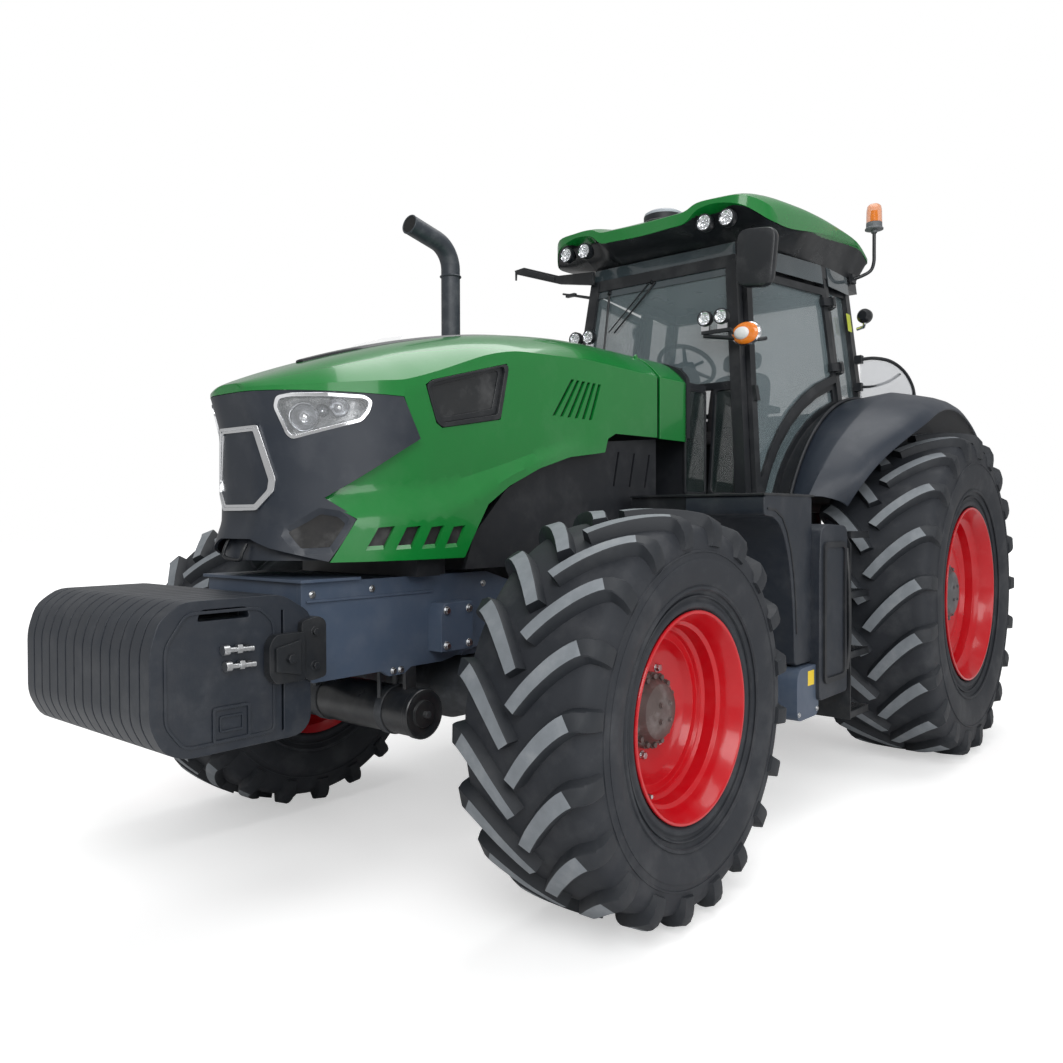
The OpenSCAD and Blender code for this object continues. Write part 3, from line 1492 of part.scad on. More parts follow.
module top_link() {
    color(cast_grey) from_axle() {
        // Clevis on the case with its pin, and the link folded up from it
        both_sides()
            box([-560, 30, 1080], [case_rear_x - seat_gap, 55, 1160]);
        translate([-520, 0, 1120]) {
            rod_y(16, -62, 62);
            rod_y(36, -30, 30);
            rotate([0, -22, 0])
                cylinder(r = 22, h = 500);
        }
    }
}
module drawbar() {
    color(black) from_axle()
        difference() {
            union() {
                box([-980, -45, 420], [150, 45, 460]);
                box([-640, -130, 455], [-200, 130, case_bottom_z - seat_gap]);
            }
            translate([-920, 0, 400])
                cylinder(r = drawbar_pin_r, h = 100);
        }
}
module pto_shaft() {
    color(steel) from_axle()
        translate([0, 0, pto_z])
            rod_x(pto_r, case_rear_x - 120, case_rear_x + 60 - slide_gap);
}

transmission();
engine();
radiator();
front_support();
front_axle();
air_tank();
weight_clamp();
front_weights();
knuckle_l();
knuckle_r();
tie_rod();
tyre_fl();
tyre_fr();
tyre_rl();
tyre_rr();
rim_fl();
rim_fr();
rim_rl();
rim_rr();
hub_fl();
hub_fr();
hub_rl();
hub_rr();
hood();
hood_grilles();
nose();
nose_frame();
headlamps();
side_panels();
cowl();
scuttle();
exhaust();
cab_frame();
cab_floor();
cab_roof();
roof_fascia();
work_lamps();
cab_glass();
door_l();
door_r();
door_glass_l();
door_glass_r();
seat();
dash();
mirrors();
side_lamps();
beacon();
fender_l();
fender_r();
tank_l();
tank_r();
steps();
lower_links();
lift_rods();
lift_arms();
top_link();
drawbar();
pto_shaft();
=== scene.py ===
"""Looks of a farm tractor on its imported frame. Lengths are in metres; places along X are
counted from the rear axle and shifted by rear_axle_x, as the solids are."""
import json
import math

import bmesh
import bpy
from mathutils import Matrix, Vector
from mathutils.geometry import delaunay_2d_cdt

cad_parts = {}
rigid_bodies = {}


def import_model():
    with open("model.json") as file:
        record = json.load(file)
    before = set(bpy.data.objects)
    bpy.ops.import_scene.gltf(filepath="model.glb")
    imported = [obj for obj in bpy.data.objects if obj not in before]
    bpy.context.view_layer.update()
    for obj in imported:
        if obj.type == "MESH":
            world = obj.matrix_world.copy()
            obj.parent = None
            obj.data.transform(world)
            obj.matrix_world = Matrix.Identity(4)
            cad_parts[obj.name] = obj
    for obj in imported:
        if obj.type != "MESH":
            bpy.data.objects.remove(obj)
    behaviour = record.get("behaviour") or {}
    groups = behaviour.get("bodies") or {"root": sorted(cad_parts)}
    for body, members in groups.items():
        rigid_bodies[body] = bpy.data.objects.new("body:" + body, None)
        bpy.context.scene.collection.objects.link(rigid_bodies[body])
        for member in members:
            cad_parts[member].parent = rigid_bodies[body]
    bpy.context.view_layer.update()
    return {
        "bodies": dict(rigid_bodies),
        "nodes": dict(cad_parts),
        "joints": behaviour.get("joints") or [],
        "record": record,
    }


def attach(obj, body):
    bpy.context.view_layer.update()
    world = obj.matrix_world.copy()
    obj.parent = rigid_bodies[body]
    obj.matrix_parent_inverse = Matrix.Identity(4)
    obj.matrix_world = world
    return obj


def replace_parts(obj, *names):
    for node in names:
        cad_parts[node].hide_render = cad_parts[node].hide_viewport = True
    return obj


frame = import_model()
nodes = frame["nodes"]

rear_axle_x = -1.828
both_sides = ((1, "l"), (-1, "r"))


# Shared effects as node groups
def shader_group(name, inputs, outputs):
    group = bpy.data.node_groups.new(name, "ShaderNodeTree")
    for label, kind, value in inputs:
        socket = group.interface.new_socket(label, in_out="INPUT", socket_type=kind)
        socket.default_value = value
    for label, kind in outputs:
        group.interface.new_socket(label, in_out="OUTPUT", socket_type=kind)
    start = group.nodes.new("NodeGroupInput")
    end = group.nodes.new("NodeGroupOutput")
    return group, start, end


COLOR = "NodeSocketColor"
VALUE = "NodeSocketFloat"


def link(tree, a, b):
    tree.links.new(a, b)


def noise(tree, vector, scale, detail=3.0, roughness=0.5):
    node = tree.nodes.new("ShaderNodeTexNoise")
    node.inputs["Detail"].default_value = detail
    node.inputs["Roughness"].default_value = roughness
    link(tree, vector, node.inputs["Vector"])
    if isinstance(scale, (int, float)):
        node.inputs["Scale"].default_value = scale
    else:
        link(tree, scale, node.inputs["Scale"])
    return node.outputs["Fac"]


def math_node(tree, kind, a, b=None):
    node = tree.nodes.new("ShaderNodeMath")
    node.operation = kind
    for i, value in enumerate((a, b)):
        if value is None:
            continue
        if isinstance(value, (int, float)):
            node.inputs[i].default_value = value
        else:
            link(tree, value, node.inputs[i])
    return node.outputs[0]


def spread(tree, value, low, high, out_low=0.0, out_high=1.0):
    node = tree.nodes.new("ShaderNodeMapRange")
    link(tree, value, node.inputs["Value"])
    for label, number in (("From Min", low), ("From Max", high), ("To Min", out_low),
                          ("To Max", out_high)):
        node.inputs[label].default_value = number
    return node.outputs["Result"]


def blend(tree, factor, a, b):
    node = tree.nodes.new("ShaderNodeMix")
    node.data_type = "RGBA"
    for value, socket in ((factor, node.inputs[0]), (a, node.inputs[6]), (b, node.inputs[7])):
        if isinstance(value, (int, float, tuple)):
            socket.default_value = value
        else:
            link(tree, value, socket)
    return node.outputs[2]


def place_of(tree):
    return tree.nodes.new("ShaderNodeTexCoord").outputs["Object"]


def make_surface_group():
    """Mottled colour, dust that gathers low down, uneven gloss and a fine relief."""
    group, start, end = shader_group(
        "finish with dust",
        [
            ("Color", COLOR, (0.5, 0.5, 0.5, 1)),
            ("Dust Color", COLOR, (0.32, 0.29, 0.25, 1)),
            ("Dust", VALUE, 0.3),
            ("Mottle", VALUE, 0.15),
            ("Mottle Scale", VALUE, 6.0),
            ("Roughness", VALUE, 0.4),
            ("Grain Scale", VALUE, 300.0),
        ],
        [("Color", COLOR), ("Roughness", VALUE), ("Height", VALUE)],
    )
    place = place_of(group)
    patches = noise(group, place, start.outputs["Mottle Scale"], 5, 0.6)
    shade = spread(group, patches, 0.3, 0.7, -1, 1)
    shade = math_node(group, "MULTIPLY", shade, start.outputs["Mottle"])
    darker = blend(group, math_node(group, "MAXIMUM", shade, 0.0), start.outputs["Color"],
                   (0.0, 0.0, 0.0, 1))
    lifted = blend(group, math_node(group, "MAXIMUM", math_node(group, "MULTIPLY", shade, -0.5), 0.0),
                   darker, (1.0, 1.0, 1.0, 1))
    split = group.nodes.new("ShaderNodeSeparateXYZ")
    link(group, place, split.inputs[0])
    low_down = spread(group, split.outputs["Z"], 0.2, 2.2, 1.0, 0.12)
    specks = noise(group, place, 9.0, 8, 0.7)
    dust = math_node(group, "MULTIPLY", spread(group, specks, 0.42, 0.75), low_down)
    dust = math_node(group, "MULTIPLY", dust, start.outputs["Dust"])
    link(group, blend(group, dust, lifted, start.outputs["Dust Color"]), end.inputs["Color"])
    rough = math_node(group, "ADD", start.outputs["Roughness"], math_node(group, "MULTIPLY", dust, 0.5))
    rough = math_node(group, "ADD", rough, math_node(group, "MULTIPLY", shade, 0.25))
    link(group, rough, end.inputs["Roughness"])
    grain = noise(group, place, start.outputs["Grain Scale"], 2, 0.5)
    link(group, grain, end.inputs["Height"])
    return group


def make_pebble_group():
    """The pebbled relief of moulded plastic and of castings."""
    group, start, end = shader_group(
        "pebbled relief", [("Scale", VALUE, 400.0), ("Softness", VALUE, 0.5)], [("Height", VALUE)]
    )
    place = place_of(group)
    cells = group.nodes.new("ShaderNodeTexVoronoi")
    link(group, place, cells.inputs["Vector"])
    link(group, start.outputs["Scale"], cells.inputs["Scale"])
    soft = noise(group, place, start.outputs["Scale"], 4, 0.6)
    mixed = group.nodes.new("ShaderNodeMix")
    link(group, start.outputs["Softness"], mixed.inputs[0])
    link(group, cells.outputs["Distance"], mixed.inputs[2])
    link(group, soft, mixed.inputs[3])
    link(group, mixed.outputs[0], end.inputs["Height"])
    return group


def make_weave_group():
    """Threads that pass over and under each other."""
    group, start, end = shader_group(
        "woven cloth",
        [("Color", COLOR, (0.05, 0.05, 0.055, 1)), ("Thread Color", COLOR, (0.12, 0.12, 0.13, 1)),
         ("Scale", VALUE, 300.0)],
        [("Color", COLOR), ("Height", VALUE)],
    )
    place = place_of(group)
    waves = []
    for direction in ("X", "Y"):
        wave = group.nodes.new("ShaderNodeTexWave")
        wave.bands_direction = direction
        link(group, place, wave.inputs["Vector"])
        link(group, start.outputs["Scale"], wave.inputs["Scale"])
        waves.append(wave.outputs["Fac"])
    both = math_node(group, "MAXIMUM", waves[0], waves[1])
    link(group, blend(group, both, start.outputs["Color"], start.outputs["Thread Color"]),
         end.inputs["Color"])
    link(group, both, end.inputs["Height"])
    return group


surface_group = make_surface_group()
pebble_group = make_pebble_group()
weave_group = make_weave_group()


# Materials
def shader(name, **constants):
    material = bpy.data.materials.new(name)
    material.use_nodes = True
    tree = material.node_tree
    bsdf = tree.nodes["Principled BSDF"]
    for label, value in constants.items():
        bsdf.inputs[label.replace("_", " ")].default_value = value
    return material, tree, bsdf


def use_group(tree, group, **values):
    node = tree.nodes.new("ShaderNodeGroup")
    node.node_tree = group
    for label, value in values.items():
        node.inputs[label.replace("_", " ")].default_value = value
    return node


def relief(tree, bsdf, height, strength, distance):
    bump = tree.nodes.new("ShaderNodeBump")
    bump.inputs["Strength"].default_value = strength
    bump.inputs["Distance"].default_value = distance
    link(tree, height, bump.inputs["Height"])
    link(tree, bump.outputs["Normal"], bsdf.inputs["Normal"])


def finish(name, color, rough, dust=0.2, mottle=0.1, mottle_scale=6.0, grain=300.0, bump=0.1,
           bump_depth=0.0005, dust_color=(0.32, 0.29, 0.25, 1), pebble=None, **constants):
    material, tree, bsdf = shader(name, **constants)
    surface = use_group(tree, surface_group, Color=(*color, 1), Dust_Color=dust_color, Dust=dust,
                        Mottle=mottle, Mottle_Scale=mottle_scale, Roughness=rough, Grain_Scale=grain)
    link(tree, surface.outputs["Color"], bsdf.inputs["Base Color"])
    link(tree, surface.outputs["Roughness"], bsdf.inputs["Roughness"])
    if pebble:
        stones = use_group(tree, pebble_group, Scale=pebble, Softness=0.5)
        relief(tree, bsdf, stones.outputs["Height"], bump, bump_depth)
    else:
        relief(tree, bsdf, surface.outputs["Height"], bump, bump_depth)
    return material


green_gloss = finish("green gloss paint", (0.004, 0.175, 0.028), 0.24, dust=0.03, mottle=0.03,
                     mottle_scale=2.5, grain=60, bump=0.02, Coat_Weight=0.5, Specular_IOR_Level=0.35,
                     Coat_Roughness=0.06)
nose_black = finish("charcoal nose moulding", (0.015, 0.021, 0.032), 0.42, dust=0.03, mottle=0.03,
                    bump=0.08, pebble=900, bump_depth=0.0003)
black_paint = finish("satin black paint", (0.009, 0.011, 0.014), 0.38, dust=0.06, mottle=0.04)
black_plastic = finish("black moulded plastic", (0.009, 0.011, 0.015), 0.5, dust=0.06, pebble=700,
                       bump=0.15, mottle=0.03)
tank_plastic = finish("charcoal tank moulding", (0.013, 0.018, 0.027), 0.5, dust=0.07, pebble=600,
                      bump=0.15, mottle=0.03)
fender_plastic = finish("blue grey fender moulding", (0.016, 0.023, 0.036), 0.42, dust=0.05, pebble=700,
                        bump=0.08, mottle=0.03)
weight_paint = finish("blue black weight paint", (0.012, 0.017, 0.026), 0.42, dust=0.06, mottle=0.03,
                      mottle_scale=10, pebble=220, bump=0.25, bump_depth=0.001)
support_paint = finish("grey blue chassis paint", (0.060, 0.085, 0.130), 0.42, dust=0.08, mottle=0.04,
                       pebble=250, bump=0.12, bump_depth=0.0008)
casting_paint = finish("dark casting paint", (0.018, 0.023, 0.030), 0.5, dust=0.15, mottle=0.1,
                       mottle_scale=9, pebble=160, bump=0.35, bump_depth=0.0015)
rim_red = finish("red rim paint", (0.50, 0.002, 0.008), 0.28, dust=0.03, mottle=0.03, grain=80, bump=0.03,
                 Coat_Weight=0.35, Specular_IOR_Level=0.3, Coat_Roughness=0.1)
hub_paint = finish("brown grey hub paint", (0.085, 0.062, 0.058), 0.5, dust=0.1, mottle=0.15,
                   mottle_scale=14, pebble=200, bump=0.3, bump_depth=0.001)
hub_grey = finish("grey hub casting", (0.075, 0.08, 0.085), 0.45, dust=0.12, mottle=0.15, mottle_scale=14,
                  pebble=200, bump=0.3, bump_depth=0.001)
rubber = finish("tyre rubber", (0.010, 0.013, 0.018), 0.62, dust=0.05, mottle=0.02, mottle_scale=8,
                dust_color=(0.11, 0.11, 0.115, 1), pebble=350, bump=0.2, bump_depth=0.0006)
rubber_groove = finish("tyre rubber between the lugs", (0.013, 0.016, 0.022), 0.7, dust=0.10, mottle=0.04,
                       dust_color=(0.13, 0.13, 0.135, 1), pebble=260, bump=0.3, bump_depth=0.001)
# a light grey for the flat middle of each lug's top, far lighter than the rest of the rubber
lug_face = finish("lighter lug faces", (0.19, 0.21, 0.23), 0.6, dust=0.1, mottle=0.12, mottle_scale=12,
                  dust_color=(0.3, 0.31, 0.32, 1), pebble=300, bump=0.25, bump_depth=0.0008)
steel = finish("bare steel", (0.55, 0.56, 0.57), 0.32, dust=0.15, mottle=0.2, mottle_scale=30,
               Metallic=1.0)
chrome = finish("bright chrome", (0.82, 0.83, 0.85), 0.1, dust=0.05, mottle=0.04, Metallic=1.0)
exhaust_paint = finish("heat-proof grey paint", (0.030, 0.037, 0.048), 0.45, dust=0.05, mottle=0.08,
                       mottle_scale=12)
amber = finish("amber lens", (0.85, 0.22, 0.01), 0.18, dust=0.1, mottle=0.15, mottle_scale=30,
               Coat_Weight=0.6)
white_plastic = finish("white moulded plastic", (0.75, 0.76, 0.76), 0.4, dust=0.15, mottle=0.05)
lamp_reflector = finish("lamp reflector", (0.9, 0.91, 0.93), 0.12, dust=0.0, mottle=0.1, mottle_scale=60,
                        Metallic=1.0)
yellow_green = finish("yellow green marker", (0.55, 0.62, 0.05), 0.5, dust=0.1)
yellow = finish("yellow marker", (0.85, 0.60, 0.02), 0.5, dust=0.1)
black_gloss = finish("black gloss moulding", (0.012, 0.014, 0.017), 0.28, dust=0.08, mottle=0.05)
dark_mesh = finish("dark mesh", (0.016, 0.018, 0.020), 0.55, dust=0.1, grain=500, bump=0.4,
                   bump_depth=0.001)
lamp_bowl = finish("headlamp bowl", (0.62, 0.63, 0.65), 0.18, dust=0.0, mottle=0.35, mottle_scale=70,
                   Metallic=1.0)
lamp_tray = finish("lamp tray", (0.24, 0.25, 0.26), 0.30, dust=0.02, mottle=0.45, mottle_scale=40,
                   Metallic=0.8)
dome_grey = finish("light grey dome", (0.36, 0.39, 0.43), 0.35, dust=0.1, mottle=0.05)
support_grey = finish("grey moulded base", (0.10, 0.11, 0.12), 0.5, dust=0.1, mottle=0.05)
# painted shade: a near-black put in openings, dents and gaps where shade falls
painted_shade_black = finish("painted shade in recesses", (0.006, 0.006, 0.007), 0.7, dust=0.1)
mirror_glass = finish("mirror glass", (0.75, 0.77, 0.8), 0.05, dust=0.02, mottle=0.02, Metallic=1.0)


def make_glass(name, tint, alpha, rough=0.02):
    material, tree, bsdf = shader(name, Roughness=rough, Metallic=0.0, IOR=1.45, Coat_Weight=1.0,
                                  Coat_Roughness=0.02)
    surface = use_group(tree, surface_group, Color=(*tint, 1), Dust=0.15, Mottle=0.05, Mottle_Scale=3.0,
                        Roughness=rough)
    link(tree, surface.outputs["Color"], bsdf.inputs["Base Color"])
    bsdf.inputs["Alpha"].default_value = alpha
    return material


cab_glass = make_glass("tinted cab glass", (0.17, 0.225, 0.245), 0.42)
cab_glass_upper = make_glass("tinted band over the cab windows", (0.050, 0.068, 0.078), 0.93, 0.12)
cab_glass_dark = make_glass("dark lower glass", (0.02, 0.03, 0.03), 0.72)
clear_lens = make_glass("clear lens", (0.75, 0.78, 0.8), 0.10)
amber_clear = make_glass("clear amber dome", (0.85, 0.25, 0.02), 0.55)
grey_pane = make_glass("grey clear pane", (0.55, 0.57, 0.60), 0.45)


def make_cloth():
    material, tree, bsdf = shader("seat cloth", Roughness=0.9)
    cloth = use_group(tree, weave_group, Scale=260.0)
    link(tree, cloth.outputs["Color"], bsdf.inputs["Base Color"])
    relief(tree, bsdf, cloth.outputs["Height"], 0.4, 0.0008)
    return material


seat_cloth = make_cloth()

node_finish = {
    "transmission": casting_paint, "engine": casting_paint, "radiator": black_plastic,
    "front_support": support_paint, "front_axle": casting_paint, "air_tank": black_paint,
    "weight_clamp": black_paint, "front_weights": weight_paint,
    "knuckle_l": casting_paint, "knuckle_r": casting_paint, "tie_rod": steel,
    "hood": green_gloss, "hood_grilles": dark_mesh, "nose": nose_black, "nose_frame": chrome,
    "headlamps": lamp_reflector, "side_panels": black_plastic,
    "cowl": green_gloss, "scuttle": black_plastic, "exhaust": exhaust_paint,
    "cab_frame": black_paint, "cab_floor": black_plastic, "cab_roof": green_gloss,
    "roof_fascia": black_plastic,
    "work_lamps": lamp_reflector, "cab_glass": cab_glass,
    "door_l": black_paint, "door_r": black_paint, "door_glass_l": cab_glass, "door_glass_r": cab_glass,
    "seat": seat_cloth, "dash": black_plastic, "mirrors": black_plastic, "side_lamps": black_plastic,
    "beacon": amber, "fender_l": fender_plastic, "fender_r": fender_plastic,
    "tank_l": tank_plastic, "tank_r": tank_plastic, "steps": black_paint,
    "lower_links": casting_paint, "lift_rods": casting_paint, "lift_arms": casting_paint,
    "top_link": casting_paint, "drawbar": black_paint, "pto_shaft": steel,
}
for node_name, material in node_finish.items():
    if node_name in nodes:
        slots = nodes[node_name].material_slots
        for slot in slots:
            slot.material = material


# Making pieces
def at(x, y, z):
    return Vector((x + rear_axle_x, y, z))


def new_piece(name, body, verts, faces, material, smooth=40, materials=None, face_material=None):
    mesh = bpy.data.meshes.new(name)
    mesh.from_pydata([tuple(v) for v in verts], [], faces)
    mesh.validate()
    for m in materials or [material]:
        mesh.materials.append(m)
    if face_material:
        for polygon, index in zip(mesh.polygons, face_material):
            polygon.material_index = index
    piece = bpy.data.objects.new(name, mesh)
    bpy.context.scene.collection.objects.link(piece)
    if smooth:
        mesh.shade_smooth()
        mesh.set_sharp_from_angle(angle=math.radians(smooth))
    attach(piece, body)
    return piece


def tidy(piece, bevel=0.0, segments=2, angle=35, subdivide=0, weld=True):
    """Welds, and softens edges with bevel and smoothing modifiers that stay on the piece."""
    if weld:
        bm = bmesh.new()
        bm.from_mesh(piece.data)
        bmesh.ops.remove_doubles(bm, verts=bm.verts, dist=0.00005)
        bmesh.ops.recalc_face_normals(bm, faces=bm.faces)
        bm.to_mesh(piece.data)
        bm.free()
    if bevel:
        m = piece.modifiers.new("edge", "BEVEL")
        m.width = bevel
        m.segments = segments
        m.limit_method = "ANGLE"
        m.angle_limit = math.radians(angle)
        m.harden_normals = True
    if subdivide:
        m = piece.modifiers.new("smooth", "SUBSURF")
        m.levels = subdivide
        m.render_levels = subdivide
    piece.data.shade_smooth()
    piece.data.set_sharp_from_angle(angle=math.radians(angle))
    return piece


def turns(count, shift=0.0):
    """Cosine and sine of even steps round a full turn."""
    angles = [2 * math.pi * (k + shift) / count for k in range(count)]
    return [(math.cos(a), math.sin(a)) for a in angles]


class Builder:
    """Gathers several forms of one material into one mesh."""

    def __init__(self):
        self.verts = []
        self.faces = []
        self.marks = []

    def add(self, verts, faces, mark=0):
        base = len(self.verts)
        self.verts += [Vector(v) for v in verts]
        self.faces += [[base + i for i in f] for f in faces]
        self.marks += [mark] * len(faces)

    def hoops(self, rows, mark=0, closed=False):
        """Joins loops of places, each to the next, and the last to the first where closed."""
        n, m = len(rows[0]), len(rows)
        faces = [[r * n + i, r * n + (i + 1) % n, (r + 1) % m * n + (i + 1) % n, (r + 1) % m * n + i]
                 for r in range(m if closed else m - 1) for i in range(n)]
        self.add([v for row in rows for v in row], faces, mark)

    def lathe(self, profile, centre, side=1, segments=96, mark=0, closed=False):
        """Turns places (radius, distance outward) round the Y axis through centre."""
        rows = [[centre + Vector((r * c, side * y, r * s)) for c, s in turns(segments)]
                for r, y in reversed(profile)]
        self.hoops(rows, mark, closed)

    def turned(self, profile, centre, ahead=(0, 0, 1), sides=48, mark=0):
        """Turns places (radius, height) round an axis that runs ahead from centre."""
        turn = Vector(ahead).to_track_quat("Z", "Y")
        rows = [[centre + turn @ Vector((r * c, r * s, h)) for c, s in turns(sides)] for r, h in profile]
        self.hoops(rows, mark)

    def bar(self, rows, mark=0):
        """Loops joined one to the next, with a face over each end."""
        n = len(rows[0])
        self.hoops(rows, mark)
        self.add(rows[0], [list(reversed(range(n)))], mark)
        self.add(rows[-1], [list(range(n))], mark)

    def side_box(self, side, low, high, mark=0):
        """A box on the left for side 1, and its mirror image on the right for side -1."""
        x0, y0, z0 = low
        x1, y1, z1 = high
        self.box(at(x0, min(side * y0, side * y1), z0), at(x1, max(side * y0, side * y1), z1), mark)

    def box(self, low, high, mark=0):
        x0, y0, z0 = low
        x1, y1, z1 = high
        verts = [(x0, y0, z0), (x1, y0, z0), (x1, y1, z0), (x0, y1, z0), (x0, y0, z1), (x1, y0, z1),
                 (x1, y1, z1), (x0, y1, z1)]
        faces = [[0, 3, 2, 1], [4, 5, 6, 7], [0, 1, 5, 4], [1, 2, 6, 5], [2, 3, 7, 6], [3, 0, 4, 7]]
        self.add(verts, faces, mark)

    def prism(self, outline, place, mark=0):
        """A plate: outline points go through place(u, v, side) for side 0 and 1."""
        n = len(outline)
        verts = [place(u, v, 0) for u, v in outline] + [place(u, v, 1) for u, v in outline]
        faces = [list(range(n)), [n + i for i in reversed(range(n))]]
        faces += [[i, n + i, n + (i + 1) % n, (i + 1) % n] for i in range(n)]
        self.add(verts, faces, mark)

    def rod(self, a, b, radius, radius_b=None, sides=20, mark=0):
        a, b = Vector(a), Vector(b)
        turn = (b - a).to_track_quat("Z", "Y")
        rb = radius if radius_b is None else radius_b
        self.bar([[centre + turn @ Vector((r * c, r * s, 0)) for c, s in turns(sides)]
                  for centre, r in ((a, radius), (b, rb))], mark)

    def bolt(self, place, direction, across=0.024, height=0.012, mark=0):
        """A hexagon head on a washer."""
        place = Vector(place)
        direction = Vector(direction).normalized()
        self.rod(place, place + direction * 0.003, across * 0.75, sides=20, mark=mark)
        self.rod(place, place + direction * height, across * 0.56, sides=6, mark=mark)

    def tube(self, path, radius, sides=16, mark=0, closed=False):
        """A round bar that follows a path."""
        path = [Vector(p) for p in path]
        n = len(path)
        rows = []
        normal = None
        for i, p in enumerate(path):
            before = path[(i - 1) % n] if closed or i else p
            after = path[(i + 1) % n] if closed or i < n - 1 else p
            forward = (after - before).normalized()
            if normal is None:
                normal = forward.orthogonal().normalized()
            normal = (normal - forward * normal.dot(forward)).normalized()
            cross = forward.cross(normal)
            r = radius[i] if isinstance(radius, (list, tuple)) else radius
            rows.append([p + normal * (r * c) + cross * (r * s) for c, s in turns(sides)])
        if closed:
            self.hoops(rows, mark, closed=True)
        else:
            self.bar(rows, mark)

    def make(self, name, body, material, bevel=0.0, segments=2, angle=35, materials=None,
             subdivide=0):
        piece = new_piece(name, body, self.verts, self.faces, material, materials=materials,
                          face_material=self.marks if materials else None)
        return tidy(piece, bevel, segments, angle, subdivide, weld=True)


# Wheels
front_tyre = dict(radius=0.795, half=0.300, rim=0.406, centre_y=1.16, x=3.300)
rear_tyre = dict(radius=1.050, half=0.360, rim=0.559, centre_y=1.24, x=0.0)
lug_height = 0.045
lug_curve = 1.35
# shares of a lug's length: where it runs straight over the shoulder, and where it gets lower
lug_bend = 0.74
lug_fade = 0.78


def follow(points, t):
    """A place on a line of points, by its share of the line's length, with the way outward."""
    lengths = [(Vector(b) - Vector(a)).length for a, b in zip(points, points[1:])]
    total = sum(lengths)
    want = t * total
    for i, length in enumerate(lengths):
        if want <= length or i == len(lengths) - 1:
            a, b = Vector(points[i]), Vector(points[i + 1])
            along = (b - a).normalized()
            return a + along * want, Vector((-along.y, along.x))
        want -= length


def tyre_profile(radius, half, rim):
    """Half a tyre's outline from the middle of the tread to the rim: (distance outward, radius)."""
    base = radius - lug_height
    h = radius - rim
    return [(0.0, base), (half * 0.30, base - 0.002), (half * 0.60, base - 0.010),
            (half * 0.80, base - 0.022), (half * 0.89, base - 0.045), (half * 0.935, base - 0.085),
            (half * 0.955, base - 0.14), (half * 0.975, radius - h * 0.50),
            (half * 0.965, radius - h * 0.62), (half * 0.92, radius - h * 0.74),
            (half * 0.87, radius - h * 0.82), (half * 0.85, radius - h * 0.86),
            (half * 0.84, radius - h * 0.90), (half * 0.87, radius - h * 0.93), (half * 0.86, rim + 0.012),
            (half * 0.82, rim + 0.002), (half * 0.76, rim - 0.018)]


def smooth_line(points, cuts=3):
    """Rounds a line of points with a spline through them."""
    out = []
    pts = [Vector(p) for p in points]
    for i in range(len(pts) - 1):
        p0 = pts[max(0, i - 1)]
        p1, p2 = pts[i], pts[i + 1]
        p3 = pts[min(len(pts) - 1, i + 2)]
        for k in range(cuts):
            t = k / cuts
            out.append(0.5 * ((2 * p1) + (p2 - p0) * t + (2 * p0 - 5 * p1 + 4 * p2 - p3) * t * t
                              + (3 * p1 - p0 - 3 * p2 + p3) * t ** 3))
    out.append(pts[-1])
    return out


